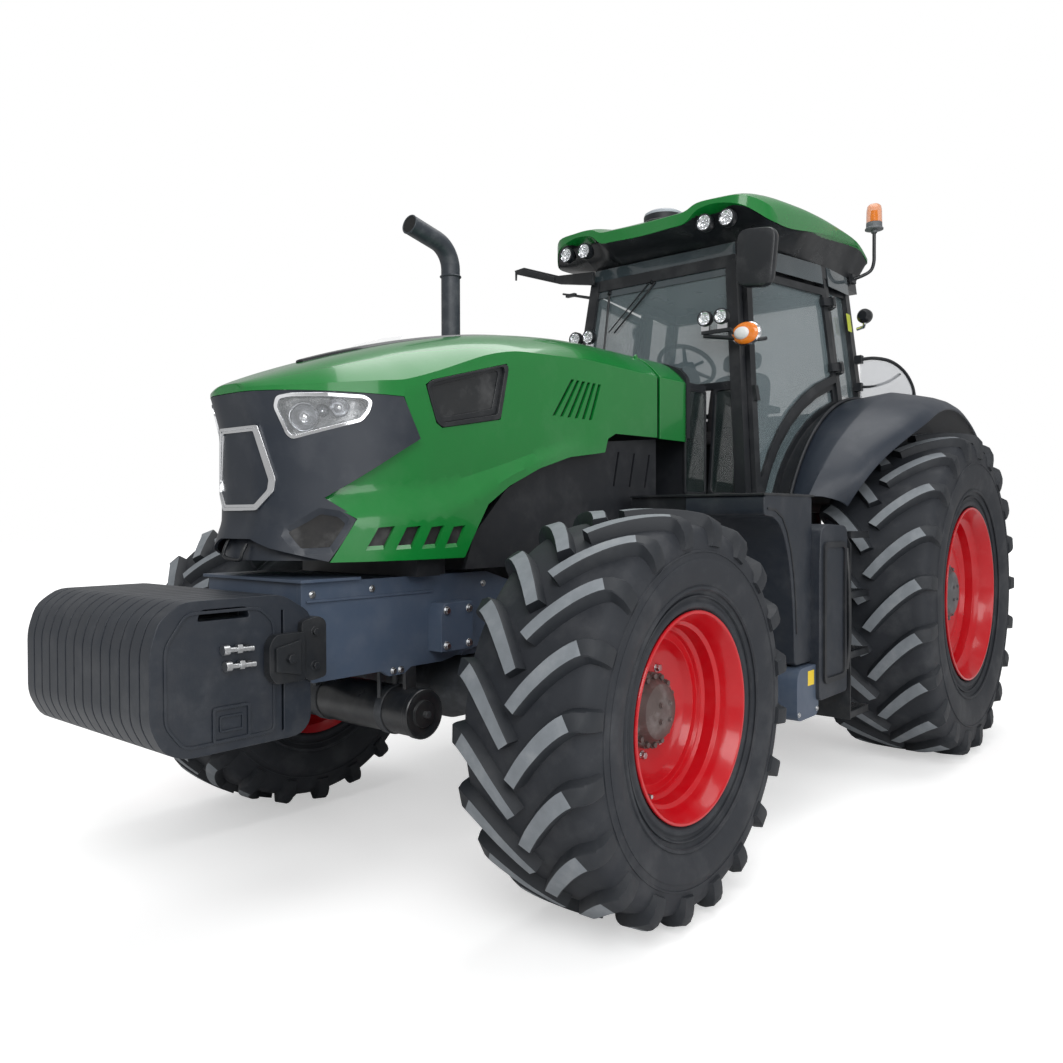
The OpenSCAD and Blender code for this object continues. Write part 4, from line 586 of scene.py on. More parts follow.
def build_tyre(name, body, size, side, lugs):
    centre = at(size["x"], side * size["centre_y"], size["radius"])
    half_line = smooth_line(tyre_profile(size["radius"], size["half"], size["rim"]), 3)
    outline = [(p.y, p.x) for p in reversed(half_line)] + [(p.y, -p.x) for p in half_line[1:]]
    b = Builder()
    b.lathe(outline, centre, side, segments=144, mark=0)
    # raised rings on the side walls
    for r, w in ((0.42, 0.006), (0.78, 0.010), (0.86, 0.005)):
        ring_r = size["rim"] + (size["radius"] - size["rim"]) * (1 - r)
        spots = [p for p in half_line if abs(p.y - ring_r) < 0.02 and p.x > size["half"] * 0.5]
        if spots:
            y = max(p.x for p in spots)
            for way in (1, -1):
                b.lathe([(ring_r - w, way * (y - 0.004)), (ring_r - w * 0.5, way * (y + 0.003)),
                         (ring_r + w * 0.5, way * (y + 0.003)), (ring_r + w, way * (y - 0.004))], centre,
                        side, segments=144, mark=0)
    tread = [(p.x, p.y) for p in smooth_line(tyre_profile(size["radius"], size["half"], size["rim"])[:8],
                                             4)]
    steps = 18
    end = 0.86
    sweep = 0.31 * front_tyre["radius"] / size["radius"] * (size["half"] / front_tyre["half"])
    for k in range(lugs * 2):
        row = 1 if k % 2 else -1
        start_angle = 2 * math.pi * k / (lugs * 2)
        rings = []
        for i in range(steps + 1):
            t = i / steps
            where, outward = follow(tread, 0.02 + (end - 0.02) * t)
            s = min(1.0, t / lug_bend)
            angle = start_angle + sweep * (1 - (1 - s) ** lug_curve)
            fade = 1.0 if t < lug_fade else max(0.0, 1 - (t - lug_fade) / (1 - lug_fade))
            height = lug_height * (0.30 + 0.70 * fade)
            width = (0.026 + 0.008 * s) * (size["radius"] / front_tyre["radius"]) ** 0.5
            # the way along the lug, unrolled, gives the way across it
            slope = sweep * lug_curve * (1 - s) ** (lug_curve - 1) / lug_bend * size["radius"]
            tilt = math.atan2(slope, 0.30) if t < lug_bend else 0.0
            across_u, across_y = math.cos(tilt), -math.sin(tilt)
            ring = []
            for offset, lift in ((-1.45, -0.25), (-1.05, 0.90), (-0.90, 1.0), (0.90, 1.0), (1.05, 0.90),
                                 (1.45, -0.25)):
                du = offset * width * across_u
                dy = offset * width * across_y
                y = where.x + outward.x * height * lift + dy
                r = where.y + outward.y * height * lift
                r = min(r, size["radius"] - 0.0005)
                y = min(y, size["half"] - 0.001)
                a = angle + du / size["radius"]
                ring.append(centre + Vector((r * math.cos(a), side * row * y, r * math.sin(a))))
            rings.append(ring)
        verts = [v for ring in rings for v in ring]
        m = len(rings[0])
        for j in range(m - 1):
            faces = []
            for i in range(steps):
                faces.append([i * m + j, i * m + j + 1, (i + 1) * m + j + 1, (i + 1) * m + j])
            flat_end = int(steps * 0.70)
            b.add(verts, faces[:flat_end], 2 if j == 2 else 1)
            b.add(verts, faces[flat_end:], 1)
        b.add(verts, [list(range(m)), [steps * m + q for q in range(m)]], 1)
    piece = b.make(name, body, None, materials=[rubber_groove, rubber, lug_face], angle=38)
    return piece


def build_rim(name, body, size, side, disc_y, hub_r, half, steps):
    """A deep dished rim; steps gives the rings of its well as (share of the radius, distance outward)."""
    centre = at(size["x"], side * size["centre_y"], size["radius"])
    r = size["rim"]
    outer = [(r - 0.004, half - 0.016), (r, half - 0.006), (r - 0.003, half), (r - 0.012, half),
             (r - 0.018, half - 0.008), (r - 0.024, half - 0.03), (r - 0.034, half - 0.045)]
    well = [(r * share, y) for share, y in steps]
    dish = [(r * 0.70, disc_y + 0.055), (r * 0.66, disc_y + 0.028), (hub_r + 0.11, disc_y + 0.018),
            (hub_r + 0.07, disc_y - 0.004), (hub_r + 0.001, disc_y - 0.012)]
    back = [(hub_r + 0.001, disc_y - 0.03), (r * 0.68, disc_y + 0.0), (r * 0.74, disc_y - 0.03),
            (r * 0.78, -half + 0.15), (r - 0.05, -half + 0.09), (r - 0.04, -half + 0.04),
            (r - 0.014, -half + 0.012), (r - 0.002, -half), (r, -half + 0.012), (r - 0.02, -half + 0.02),
            (r - 0.023, -half + 0.10), (r - 0.055, -half + 0.15), (r - 0.055, half - 0.15),
            (r - 0.023, half - 0.10), (r - 0.022, half - 0.03)]
    b = Builder()
    b.lathe(outer + well + dish + back, centre, side, segments=144, closed=True)
    # wheel nuts, and the valve near the edge
    nut_r = hub_r + 0.035
    for c, s in turns(10, 0.5):
        b.bolt(centre + Vector((nut_r * c, side * (disc_y - 0.010), nut_r * s)), (0, side, 0), 0.026,
               0.018, mark=1)
    a = math.radians(-62)
    valve = centre + Vector((r * 0.80 * math.cos(a), side * (half - 0.14), r * 0.80 * math.sin(a)))
    b.rod(valve, valve + Vector((0.0, side * 0.045, 0.0)), 0.010, 0.008, mark=1)
    b.rod(valve, valve + Vector((0.0, side * 0.012, 0.0)), 0.018, mark=0)
    return b.make(name, body, None, materials=[rim_red, steel], angle=30, bevel=0.002)


def build_hub(name, body, size, side, face_y, radius, material, dome, bolts):
    centre = at(size["x"], side * size["centre_y"], size["radius"])
    profile = [(radius, face_y - 0.12), (radius, face_y - 0.030), (radius - 0.006, face_y - 0.022),
               (radius * 0.86, face_y - 0.018), (radius * 0.80, face_y - 0.004),
               (radius * 0.72, face_y + dome * 0.45), (radius * 0.55, face_y + dome * 0.8),
               (radius * 0.35, face_y + dome * 0.96), (radius * 0.2, face_y + dome),
               (0.0005, face_y + dome)]
    b = Builder()
    b.lathe(profile, centre, side, segments=96)
    for count, shift, share, y, size_of in ((bolts, 0.0, 0.90, face_y - 0.021, (0.022, 0.016)),
                                            (4, 0.5, 0.3, face_y + dome * 0.97, (0.016, 0.008))):
        for c, s in turns(count, shift):
            b.bolt(centre + Vector((radius * share * c, side * y, radius * share * s)), (0, side, 0),
                   *size_of)
    return b.make(name, body, material, angle=30, bevel=0.001, segments=1)


for side, tag in both_sides:
    front_body = "wheel_f" + tag
    rear_body = "wheel_r" + tag
    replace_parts(build_tyre("tyre_front_" + tag, front_body, front_tyre, side, 20), "tyre_f" + tag)
    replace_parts(build_tyre("tyre_rear_" + tag, rear_body, rear_tyre, side, 21), "tyre_r" + tag)
    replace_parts(build_rim("rim_front_" + tag, front_body, front_tyre, side, 0.030, 0.150, 0.260,
                          [(0.90, 0.19), (0.885, 0.17), (0.845, 0.16), (0.835, 0.11), (0.80, 0.10),
                           (0.79, 0.10), (0.775, 0.085)]), "rim_f" + tag)
    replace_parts(build_rim("rim_rear_" + tag, rear_body, rear_tyre, side, 0.120, 0.190, 0.320,
                          [(0.925, 0.24), (0.91, 0.22), (0.87, 0.20), (0.86, 0.15), (0.83, 0.14),
                           (0.82, 0.13), (0.80, 0.11)]), "rim_r" + tag)
    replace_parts(build_hub("hub_front_" + tag, front_body, front_tyre, side, 0.090, 0.150, hub_paint, 0.040,
                          16), "hub_f" + tag)
    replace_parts(build_hub("hub_rear_" + tag, rear_body, rear_tyre, side, 0.190, 0.189, hub_grey, 0.030,
                          12), "hub_r" + tag)


# Shapes laid on curved surfaces
def inside(point, polygon):
    x, y = point[0], point[1]
    hit = False
    for (x0, y0), (x1, y1) in zip(polygon, polygon[1:] + polygon[:1]):
        if (y0 > y) != (y1 > y) and x < (x1 - x0) * (y - y0) / (y1 - y0) + x0:
            hit = not hit
    return hit


def edge_distance(point, polygon, closed=True):
    best = 9.0
    p = Vector((point[0], point[1]))
    ends = list(polygon[1:]) + (list(polygon[:1]) if closed else [])
    for a, c in zip(polygon, ends):
        a, c = Vector(a), Vector(c)
        along = c - a
        t = max(0.0, min(1.0, (p - a).dot(along) / max(along.length_squared, 1e-9)))
        best = min(best, (a + along * t - p).length)
    return best


def dense(points, spacing, closed=True):
    out = []
    ends = list(points[1:]) + (list(points[:1]) if closed else [])
    for a, c in zip(points, ends):
        n = max(1, round((Vector(c) - Vector(a)).length / spacing))
        out += [(a[0] + (c[0] - a[0]) * k / n, a[1] + (c[1] - a[1]) * k / n) for k in range(n)]
    if not closed:
        out.append(tuple(points[-1]))
    return out


def rounded(points, radius, steps=4):
    """A closed outline with its corners rounded."""
    out = []
    n = len(points)
    for i in range(n):
        p = Vector(points[i])
        a = Vector(points[i - 1]) - p
        c = Vector(points[(i + 1) % n]) - p
        start = p + a.normalized() * min(radius, a.length * 0.45)
        end = p + c.normalized() * min(radius, c.length * 0.45)
        for k in range(steps + 1):
            t = k / steps
            q = start * (1 - t) ** 2 + p * (2 * t * (1 - t)) + end * t * t
            out.append((q.x, q.y))
    return out


def grown(points, amount):
    """A closed outline moved outward, or inward where amount is negative."""
    n = len(points)
    area = sum(points[i][0] * points[(i + 1) % n][1] - points[(i + 1) % n][0] * points[i][1]
               for i in range(n))
    way = 1 if area > 0 else -1
    out = []
    for i in range(n):
        before = (Vector(points[i]) - Vector(points[i - 1])).normalized()
        after = (Vector(points[(i + 1) % n]) - Vector(points[i])).normalized()
        normal = Vector((before.y, -before.x)) + Vector((after.y, -after.x))
        size = max(0.5, normal.length_squared / 2) if normal.length > 1e-6 else 1
        q = Vector(points[i]) + normal * (way * amount / size)
        out.append((q.x, q.y))
    return out


def skin(b, outline, place, spacing, holes=(), lines=(), thickness=0.0, mark=0):
    """A sheet with holes, given in two dimensions and laid on a surface by place(u, v, depth)."""
    points = []
    edges = []
    loops = [(outline, True)] + [(h, True) for h in holes] + [(line, False) for line in lines]
    for loop, closed in loops:
        spots = dense(loop, spacing, closed)
        base = len(points)
        n = len(spots)
        points += spots
        edges += [(base + i, base + (i + 1) % n) for i in range(n if closed else n - 1)]
    fixed = [Vector(p) for p in points]
    us = [p[0] for p in outline]
    vs = [p[1] for p in outline]
    for i in range(int((max(us) - min(us)) / spacing) + 1):
        for j in range(int((max(vs) - min(vs)) / spacing) + 1):
            p = (min(us) + (i + 0.5) * spacing, min(vs) + (j + 0.25 + 0.5 * (i % 2)) * spacing)
            if not inside(p, outline) or any(inside(p, h) for h in holes):
                continue
            q = Vector(p)
            if min((q - f).length_squared for f in fixed) > (0.45 * spacing) ** 2:
                points.append(p)
    found = delaunay_2d_cdt([Vector(p) for p in points], edges, [], 0, 1e-6)
    flat = found[0]
    faces = []
    for f in found[2]:
        c = sum((flat[i] for i in f), Vector((0, 0))) / len(f)
        if inside(c, outline) and not any(inside(c, h) for h in holes):
            faces.append(list(f))
    verts = [place(p.x, p.y, 0.0) for p in flat]
    if thickness:
        n = len(flat)
        sides = {}
        for f in faces:
            for i in range(len(f)):
                e = (f[i], f[(i + 1) % len(f)])
                sides[tuple(sorted(e))] = None if tuple(sorted(e)) in sides else e
        walls = [[e[1], e[0], n + e[0], n + e[1]] for e in sides.values() if e]
        verts += [place(p.x, p.y, thickness) for p in flat]
        faces += [[n + i for i in reversed(f)] for f in faces] + walls
    b.add(verts, faces, mark)


def between(b, over, under, mark=0):
    """A closed solid between two grids of points."""
    n, m = len(over), len(over[0])
    k = n * m
    verts = [p for row in over for p in row] + [p for row in under for p in row]
    faces = []
    for i in range(n - 1):
        for j in range(m - 1):
            a = i * m + j
            faces.append([a, a + m, a + m + 1, a + 1])
            faces.append([k + a, k + a + 1, k + a + m + 1, k + a + m])
        for a in (i * m, i * m + m - 1):
            faces.append([a, k + a, k + a + m, a + m])
    for j in range(m - 1):
        for a in (j, (n - 1) * m + j):
            faces.append([a, a + 1, k + a + 1, k + a])
    b.add(verts, faces, mark)


def ring_between(b, outer, inner, place, depth, top=0.0, mark=0):
    """A raised frame between two outlines with as many points each."""
    rows = [[place(u, v, d) for u, v in line]
            for line, d in ((outer, depth), (outer, top), (inner, top), (inner, depth))]
    b.hoops(rows, mark, closed=True)


def table_value(table, x):
    if x <= table[0][0]:
        return table[0][1]
    for (x0, v0), (x1, v1) in zip(table, table[1:]):
        if x <= x1:
            return v0 + (v1 - v0) * (x - x0) / (x1 - x0)
    return table[-1][1]


def smooth_value(table, x, reach):
    return sum(table_value(table, x + reach * k / 4) for k in range(-4, 5)) / 9


# Hood and nose
nose_x = 4.390
hood_front = 3.885
hood_rear = 2.040
nose_top = 2.040
shoulders = [(2.12, 2.326), (2.678, 2.336), (3.233, 2.305), (3.416, 2.264), (3.729, 2.150), (3.885, 2.102),
             (4.25, 2.058), (4.39, 2.050)]


def crown_z(x):
    return 2.490 - 0.420 * max(0.0, (x - 2.300) / 2.090) ** 2.1


def shoulder_z(x):
    return smooth_value(shoulders, x, 0.07 if x < 3.8 else 0.03)


def half_w(x):
    t = min(1.0, max(0.0, (x - 3.650) / 0.740))
    return 0.080 + 0.380 * (1 - t ** 2.6) ** 0.6


def plan_normal(x):
    slope = (half_w(min(x + 0.002, 4.389)) - half_w(x - 0.002)) / 0.004
    return Vector((-slope, 1.0)).normalized()


def crown_point(x, share, depth=0.0):
    edge = shoulder_z(x)
    z = edge + (crown_z(x) - edge) * (1 - abs(share) ** 3.6)
    return at(x, (half_w(x) - depth) * share, z - depth)


ridge_top = [(4.208, 1.640), (3.966, 1.672), (3.738, 1.682), (3.561, 1.716), (3.371, 1.767),
             (3.165, 1.827), (2.943, 1.895), (2.651, 1.976)]
ridge_low = [(4.078, 1.550), (3.904, 1.556), (3.739, 1.568), (3.562, 1.612), (3.430, 1.663),
             (3.250, 1.745), (3.057, 1.812), (2.825, 1.868), (2.620, 1.905)]
ridge_top_table = sorted(ridge_top)
ridge_low_table = sorted(ridge_low)


def side_recess(x, z):
    """How far the green side lies in over the ridge that runs back from the arrow."""
    top = table_value(ridge_top_table, x)
    low = table_value(ridge_low_table, x)
    most = 0.042 * min(1.0, max(0.0, (x - 2.60) / 0.9))
    if z <= low:
        return 0.0
    if z <= top:
        return most * (z - low) / max(top - low, 0.001)
    return most * max(0.0, 1 - (z - top) / max(shoulder_z(x) - 0.05 - top, 0.05)) ** 0.8


def side_place(side):
    def place(x, z, depth):
        n = plan_normal(x)
        d = depth + side_recess(x, z)
        return at(x - n.x * d, side * (half_w(x) - n.y * d), z)
    return place


green_side = [(3.799, 1.877), (4.215, 1.630), (4.086, 1.550), (4.182, 1.385), (3.560, 1.385),
              (3.479, 1.512), (3.411, 1.612), (3.270, 1.696), (3.057, 1.782), (2.825, 1.846),
              (2.620, 1.872), (2.534, 1.884), (2.508, 1.955), (2.440, 1.985), (2.040, 1.990)]
side_window = [(3.780, 2.094), (3.746, 2.117), (3.286, 2.240), (3.271, 2.218), (3.307, 1.990),
               (3.669, 1.927), (3.704, 1.945)]
window_pane = [(3.741, 2.082), (3.720, 2.096), (3.336, 2.204), (3.327, 2.190), (3.355, 2.035),
               (3.660, 1.972), (3.682, 1.984)]
louvres = [[(2.790 - 0.044 * i, 2.225), (2.814 - 0.044 * i, 2.223), (2.949 - 0.056 * i, 2.037),
            (2.925 - 0.056 * i, 2.040)] for i in range(6)]
vents = [[(3.932 - 0.126 * i, 1.522), (4.004 - 0.126 * i, 1.516), (4.056 - 0.126 * i, 1.428),
          (3.982 - 0.126 * i, 1.431)] for i in range(4)]


def build_hood():
    b = Builder()
    xs = [hood_rear + 0.035 * k for k in range(53)]
    xs = [x for x in xs if x < hood_front - 0.01] + [hood_front + 0.025 * k
                                                     for k in range(18)] + [4.33, 4.35, 4.366, 4.38, 4.386]
    shares = [math.sin(math.radians(90 * k / 16)) for k in range(-16, 17)]
    between(b, [[crown_point(x, s) for s in shares] for x in xs],
            [[crown_point(x, s, 0.012) for s in shares] for x in xs])
    # the lip round the nose
    path = [(x, 1) for x in xs + [nose_x] if x >= hood_front]
    tip = [(nose_x, s / 4) for s in range(3, -4, -1)]
    path = path + tip + [(x, -1) for x, s in reversed(path)]
    outer, inner = [], []
    for x, s in path:
        top = crown_point(x, s)
        n = plan_normal(x) if abs(s) == 1 else Vector((1, 0))
        back = Vector((n.x, n.y * (1 if s > 0 else -1), 0)) * 0.012
        low = Vector((top.x, top.y, nose_top - 0.004))
        outer.append([top, (top + low) / 2, low])
        inner.append([top - back, (top + low) / 2 - back, low - back])
    between(b, outer, inner)
    for side in (1, -1):
        top_line = [(x, shoulder_z(x)) for x in xs if x <= hood_front + 0.001]
        outline = top_line + [(hood_front, nose_top)] + green_side
        holes = [side_window] + louvres + vents
        skin(b, outline, side_place(side), 0.030, holes, [ridge_top[1:], ridge_low[1:]], 0.014)
    piece = b.make("hood_skin", "hood_body", green_gloss, bevel=0.0025, angle=28)
    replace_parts(piece, "hood")
    for side, tag in both_sides:
        place = side_place(side)
        frame = Builder()
        outer = rounded(grown(side_window, -0.002), 0.02)
        inner = rounded(window_pane, 0.012)
        middle = [((a[0] * 0.55 + c[0] * 0.45), (a[1] * 0.55 + c[1] * 0.45)) for a, c in zip(outer, inner)]
        ring_between(frame, outer, middle, place, 0.018, -0.004)
        ring_between(frame, middle, inner, place, 0.024, 0.010)
        # painted shade: near-black sheets behind the louvres and the vents stand in for the dark space under
        # the hood
        for x0, x1, z0, z1 in ((2.50, 2.99, 2.020, 2.245), (3.545, 4.080, 1.412, 1.538)):
            backs = [(x0, z0), (x1, z0), (x1, z1), (x0, z1)]
            skin(frame, backs, lambda x, z, d: place(x, z, d + 0.020), 0.09, thickness=0.004, mark=1)
        piece = frame.make("hood_window_frame_" + tag, "hood_body", None,
                           materials=[black_gloss, painted_shade_black], bevel=0.002, angle=30)
        if side == 1:
            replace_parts(piece, "hood_grilles")
        pane = Builder()
        skin(pane, grown(inner, 0.004), lambda x, z, d: place(x, z, d + 0.016), 0.05, thickness=0.004)
        pane.make("hood_window_pane_" + tag, "hood_body", dark_mesh, angle=30)
        sills = Builder()
        for v in vents:
            low = [v[3], v[2], (v[2][0] - 0.010, v[2][1] + 0.016), (v[3][0] - 0.004, v[3][1] + 0.016)]
            corners = [place(*low[0], 0.001), place(*low[1], 0.001), place(*low[2], 0.013),
                       place(*low[3], 0.013)]
            back = [place(*q, 0.0145) for q in low]
            sills.add(corners + back, [[0, 1, 2, 3], [7, 6, 5, 4], [0, 4, 5, 1], [1, 5, 6, 2],
                                       [2, 6, 7, 3], [3, 7, 4, 0]])
        sills.make("hood_vent_sills_" + tag, "hood_body", green_gloss, angle=20)
    # dark strip along the crown, with a clear fin at its front
    strip = Builder()
    places = [2.86 + 0.04 * k for k in range(31)]
    rows = []
    for x in places:
        reach = 0.115 * min(1.0, (4.09 - x) / 0.30 + 0.12)
        rows.append([crown_point(x, reach / half_w(x) * s) + Vector((0, 0, lift)) for s, lift in
                     ((-1, 0.001), (-0.93, 0.010), (-0.5, 0.012), (0, 0.013), (0.5, 0.012), (0.93, 0.010),
                      (1, 0.001))])
    between(strip, rows, [[p - Vector((0, 0, 0.010)) for p in row] for row in rows])
    strip.make("hood_centre_strip", "hood_body", black_gloss, bevel=0.001, angle=40)
    fin = Builder()
    base = crown_z(3.62)
    fin.prism([(3.50, base + 0.058), (3.545, base + 0.010), (3.80, base - 0.038), (3.75, base - 0.012),
               (3.60, base + 0.036)], lambda u, v, s: at(u, 0.012 if s else -0.012, v))
    fin.make("hood_fin", "hood_body", clear_lens, bevel=0.003)


def nose_back(z):
    return table_value([(1.385, 0.0), (1.46, 0.018), (1.540, 0.050), (1.700, 0.055), (1.905, 0.045),
                        (2.040, 0.0)], z)


# The nose in the top view, as places with the distance round from the middle
plan = []
for step in range(9):
    plan.append((nose_x, 0.080 * step / 8))
for step in range(1, 141):
    px = nose_x - 0.62 * (step / 140) ** 1.7
    plan.append((px, half_w(px)))
rounds = [0.0]
for (ax, ay), (bx, by) in zip(plan, plan[1:]):
    rounds.append(rounds[-1] + math.hypot(bx - ax, by - ay))


def round_of(x, y):
    """The distance round the nose of the place nearest to x and y."""
    best = min(range(len(plan)), key=lambda i: (plan[i][0] - x) ** 2 + (plan[i][1] - abs(y)) ** 2)
    low, high = max(0, best - 1), min(len(plan) - 1, best + 1)
    found = (9, 0)
    for i in range(low, high):
        a, c = Vector(plan[i]), Vector(plan[i + 1])
        along = c - a
        t = max(0.0, min(1.0, (Vector((x, abs(y))) - a).dot(along) / along.length_squared))
        found = min(found, ((a + along * t - Vector((x, abs(y)))).length,
                            rounds[i] + t * (rounds[i + 1] - rounds[i])))
    return found[1] if y >= 0 else -found[1]


chin = [(4.317, 0.187, 1.505), (4.225, 0.300, 1.594), (4.160, 0.351, 1.582), (4.112, 0.378, 1.538),
        (4.168, 0.348, 1.420), (4.277, 0.276, 1.415)]
lamp_corners = [(4.328, .196, 1.973), (4.326, .218, 2.012), (4.296, .261, 2.022), (4.196, .344, 2.026),
                (4.058, .408, 2.024), (4.030, .416, 2.006), (4.045, .410, 1.964), (4.078, .395, 1.927),
                (4.286, .225, 1.855), (4.299, .206, 1.876)]
# a headlamp's round bowl and the cap in its middle: share of the radius, height
bowl_shares = [(1.0, 0.0), (0.97, 0.006), (0.90, 0.0), (0.86, -0.008), (0.7, -0.022), (0.45, -0.034),
               (0.2, -0.040), (0.0, -0.041)]
bulb_shares = [(0.34, -0.036), (0.34, -0.016), (0.26, -0.008), (0.12, -0.004), (0.0, -0.003)]
# the right half of the bright frame: place across, height
hexagon_outer = [(0.127, 1.910), (0.189, 1.703), (0.183, 1.656), (0.113, 1.584)]
hexagon_inner = [(0.101, 1.888), (0.160, 1.700), (0.155, 1.662), (0.098, 1.608)]


def nose_dent(u, z):
    depth = 0.0
    for outline in nose_dents:
        if inside((u, z), outline):
            depth = 0.016 * min(1.0, edge_distance((u, z), outline) / 0.030)
    return depth


def nose_place(u, z, depth):
    span = min(abs(u), rounds[-1] - 1e-6)
    i = max(k for k in range(len(rounds) - 1) if rounds[k] <= span)
    t = (span - rounds[i]) / (rounds[i + 1] - rounds[i])
    a, c = Vector(plan[i]), Vector(plan[i + 1])
    p = a + (c - a) * t
    if p.x > nose_x - 0.0005:
        n = Vector((1.0, 0.0))
    else:
        n = plan_normal(p.x)
    share = max(0.0, (p.x - hood_front) / (nose_x - hood_front))
    d = depth + nose_dent(u, z)
    return at(p.x - nose_back(z) * share - n.x * d, (1 if u >= 0 else -1) * (p.y - n.y * d), z)


nose_dents = []


def build_nose():
    lamps = {side: [(side * round_of(x, y), z) for x, y, z in lamp_corners] for side in (1, -1)}
    for side in (1, -1):
        nose_dents.append([(side * round_of(x, y), z) for x, y, z in chin])
    edge = [(hood_front + 0.004, nose_top - 0.006), (3.806, 1.872), (4.221, 1.631), (4.094, 1.550),
            (4.186, 1.388)]
    left = []
    for x, z in edge:
        left.append((round_of(x, half_w(x)), z))
    low = [(0.20, 1.440), (0.10, 1.475)]
    outline = left + low + [(-u, z) for u, z in reversed(low)] + [(-u, z) for u, z in reversed(left)]
    b = Builder()
    lines = [d + d[:1] for d in nose_dents]
    for d in nose_dents:
        small = grown(d, -0.030)
        lines.append(small + small[:1])
    skin(b, outline, nose_place, 0.026, [grown(lamps[1], 0.002), grown(lamps[-1], 0.002)], lines, 0.012)
    lower = [(-0.42, 1.392), (0.42, 1.392), (0.42, 1.520), (-0.42, 1.520)]
    skin(b, lower, lambda u, z, d: nose_place(u, z, d + 0.045), 0.06, thickness=0.004)
    piece = b.make("nose_skin", "hood_body", nose_black, bevel=0.002, angle=25)
    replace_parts(piece, "nose")
    # painted shade: near-black sheets laid in the chin dents to darken them
    sunk = Builder()
    for d in nose_dents:
        skin(sunk, rounded(grown(d, -0.024), 0.008, 2), lambda u, z, q: nose_place(u, z, q - 0.0012),
             0.026, thickness=0.0008)
    sunk.make("nose_chin_painted_shade", "hood_body", painted_shade_black, angle=25)
    loop = Builder()
    path = [at(4.345, -0.075, 1.470), at(4.362, -0.080, 1.430), at(4.366, -0.070, 1.402),
            at(4.366, 0.030, 1.392), at(4.362, 0.045, 1.420), at(4.345, 0.050, 1.455)]
    loop.tube(smooth_line(path, 4), 0.007, 10)
    loop.make("nose_latch_loop", "hood_body", black_paint, angle=60)
    for side, tag in both_sides:
        lamp = lamps[side]
        rim = Builder()
        ring_between(rim, rounded(grown(lamp, 0.003), 0.016), rounded(grown(lamp, -0.011), 0.012),
                     nose_place, 0.020, -0.005)
        rim.make("headlamp_rim_" + tag, "hood_body", chrome, bevel=0.0015, angle=30)
        lens = Builder()
        skin(lens, rounded(grown(lamp, -0.009), 0.012), lambda u, z, d: nose_place(u, z, d + 0.001), 0.035,
             thickness=0.003)
        piece = lens.make("headlamp_lens_" + tag, "hood_body", clear_lens, angle=40)
        if side == 1:
            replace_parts(piece, "headlamps")
        tray = Builder()
        outer = rounded(grown(lamp, -0.006), 0.012)
        skin(tray, outer, lambda u, z, d: nose_place(u, z, d + 0.060), 0.05, thickness=0.003)
        ring_between(tray, outer, rounded(grown(lamp, -0.012), 0.012), nose_place, 0.061, 0.006)
        tray.make("headlamp_tray_" + tag, "hood_body", lamp_tray, angle=30)
        bowls = Builder()
        for (x, y, z), r in (((4.262, 0.271, 1.938), 0.056), ((4.149, 0.365, 1.978), 0.040),
                             ((4.205, 0.322, 1.962), 0.026)):
            u = side * round_of(x, y)
            centre = nose_place(u, z, 0.014)
            ahead = centre - nose_place(u, z, 0.05)
            # mark 2 is painted shade: near-black on the ring where the bowl steps in, and in the bowl's
            # middle behind the cap
            for shares, marks in ((bowl_shares, (1, 1, 2, 0, 0, 0, 2)), (bulb_shares, (0, 0, 0, 1))):
                profile = [(r * share, height) for share, height in shares]
                for j, mark in enumerate(marks):
                    bowls.turned(profile[j:j + 2], centre, ahead, 40, mark)
        bowls.make("headlamp_bowls_" + tag, "hood_body", None, materials=[lamp_bowl, chrome, painted_shade_black],
                   angle=50)
    # bright six-sided frame
    hexagon = Builder()
    outer, inner = (
        rounded([(round_of(front_x_of(y), y), z) for y, z in half]
                + [(-round_of(front_x_of(y), y), z) for y, z in reversed(half)], radius, 3)
        for half, radius in ((hexagon_outer, 0.010), (hexagon_inner, 0.008)))
    middle = [((a[0] + c[0]) / 2, (a[1] + c[1]) / 2) for a, c in zip(outer, inner)]
    ring_between(hexagon, outer, middle, nose_place, 0.004, -0.012)
    ring_between(hexagon, middle, inner, nose_place, 0.004, -0.008)
    piece = hexagon.make("nose_frame_ring", "hood_body", chrome, bevel=0.002, angle=30)
    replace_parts(piece, "nose_frame")


def front_x_of(y):
    """The place along the tractor where the nose is y wide on one side."""
    low, high = 3.7, nose_x
    for _ in range(40):
        middle = (low + high) / 2
        if half_w(middle) > abs(y):
            low = middle
        else:
            high = middle
    return low


build_hood()
build_nose()


# Roof, cab and what is on them
cab_top = 3.150
# lines along the roof: the place across, both ends, and the upper and the lower heights at the shares
# of the length, in millimetres over the cab's top
roof_shares = [0, 0.06, 0.16, 0.35, 0.58, 0.86, 1]
roof_lines = [
    (0.000, 1.500, -0.290, (240, 285, 325, 340, 345, 320, 240), (163, 160, 150, 150, 150, 150, 150)),
    (0.200, 1.500, -0.290, (244, 285, 325, 340, 345, 320, 240), (170, 165, 150, 150, 150, 150, 150)),
    (0.310, 1.500, -0.290, (250, 292, 328, 340, 346, 322, 240), (178, 170, 150, 150, 150, 150, 150)),
    (0.395, 1.498, -0.290, (284, 315, 338, 344, 348, 325, 245), (241, 190, 150, 150, 150, 150, 150)),
    (0.530, 1.492, -0.285, (286, 322, 342, 347, 350, 328, 250), (255, 195, 150, 150, 150, 160, 150)),
    (0.680, 1.460, -0.270, (280, 312, 338, 346, 350, 330, 250), (217, 180, 160, 165, 180, 200, 180)),
    (0.780, 1.350, -0.240, (232, 262, 300, 332, 342, 326, 245), (145, 148, 160, 190, 225, 260, 205)),
    (0.805, 1.270, -0.200, (170, 190, 236, 292, 318, 312, 238), (132, 134, 150, 200, 255, 285, 215)),
]


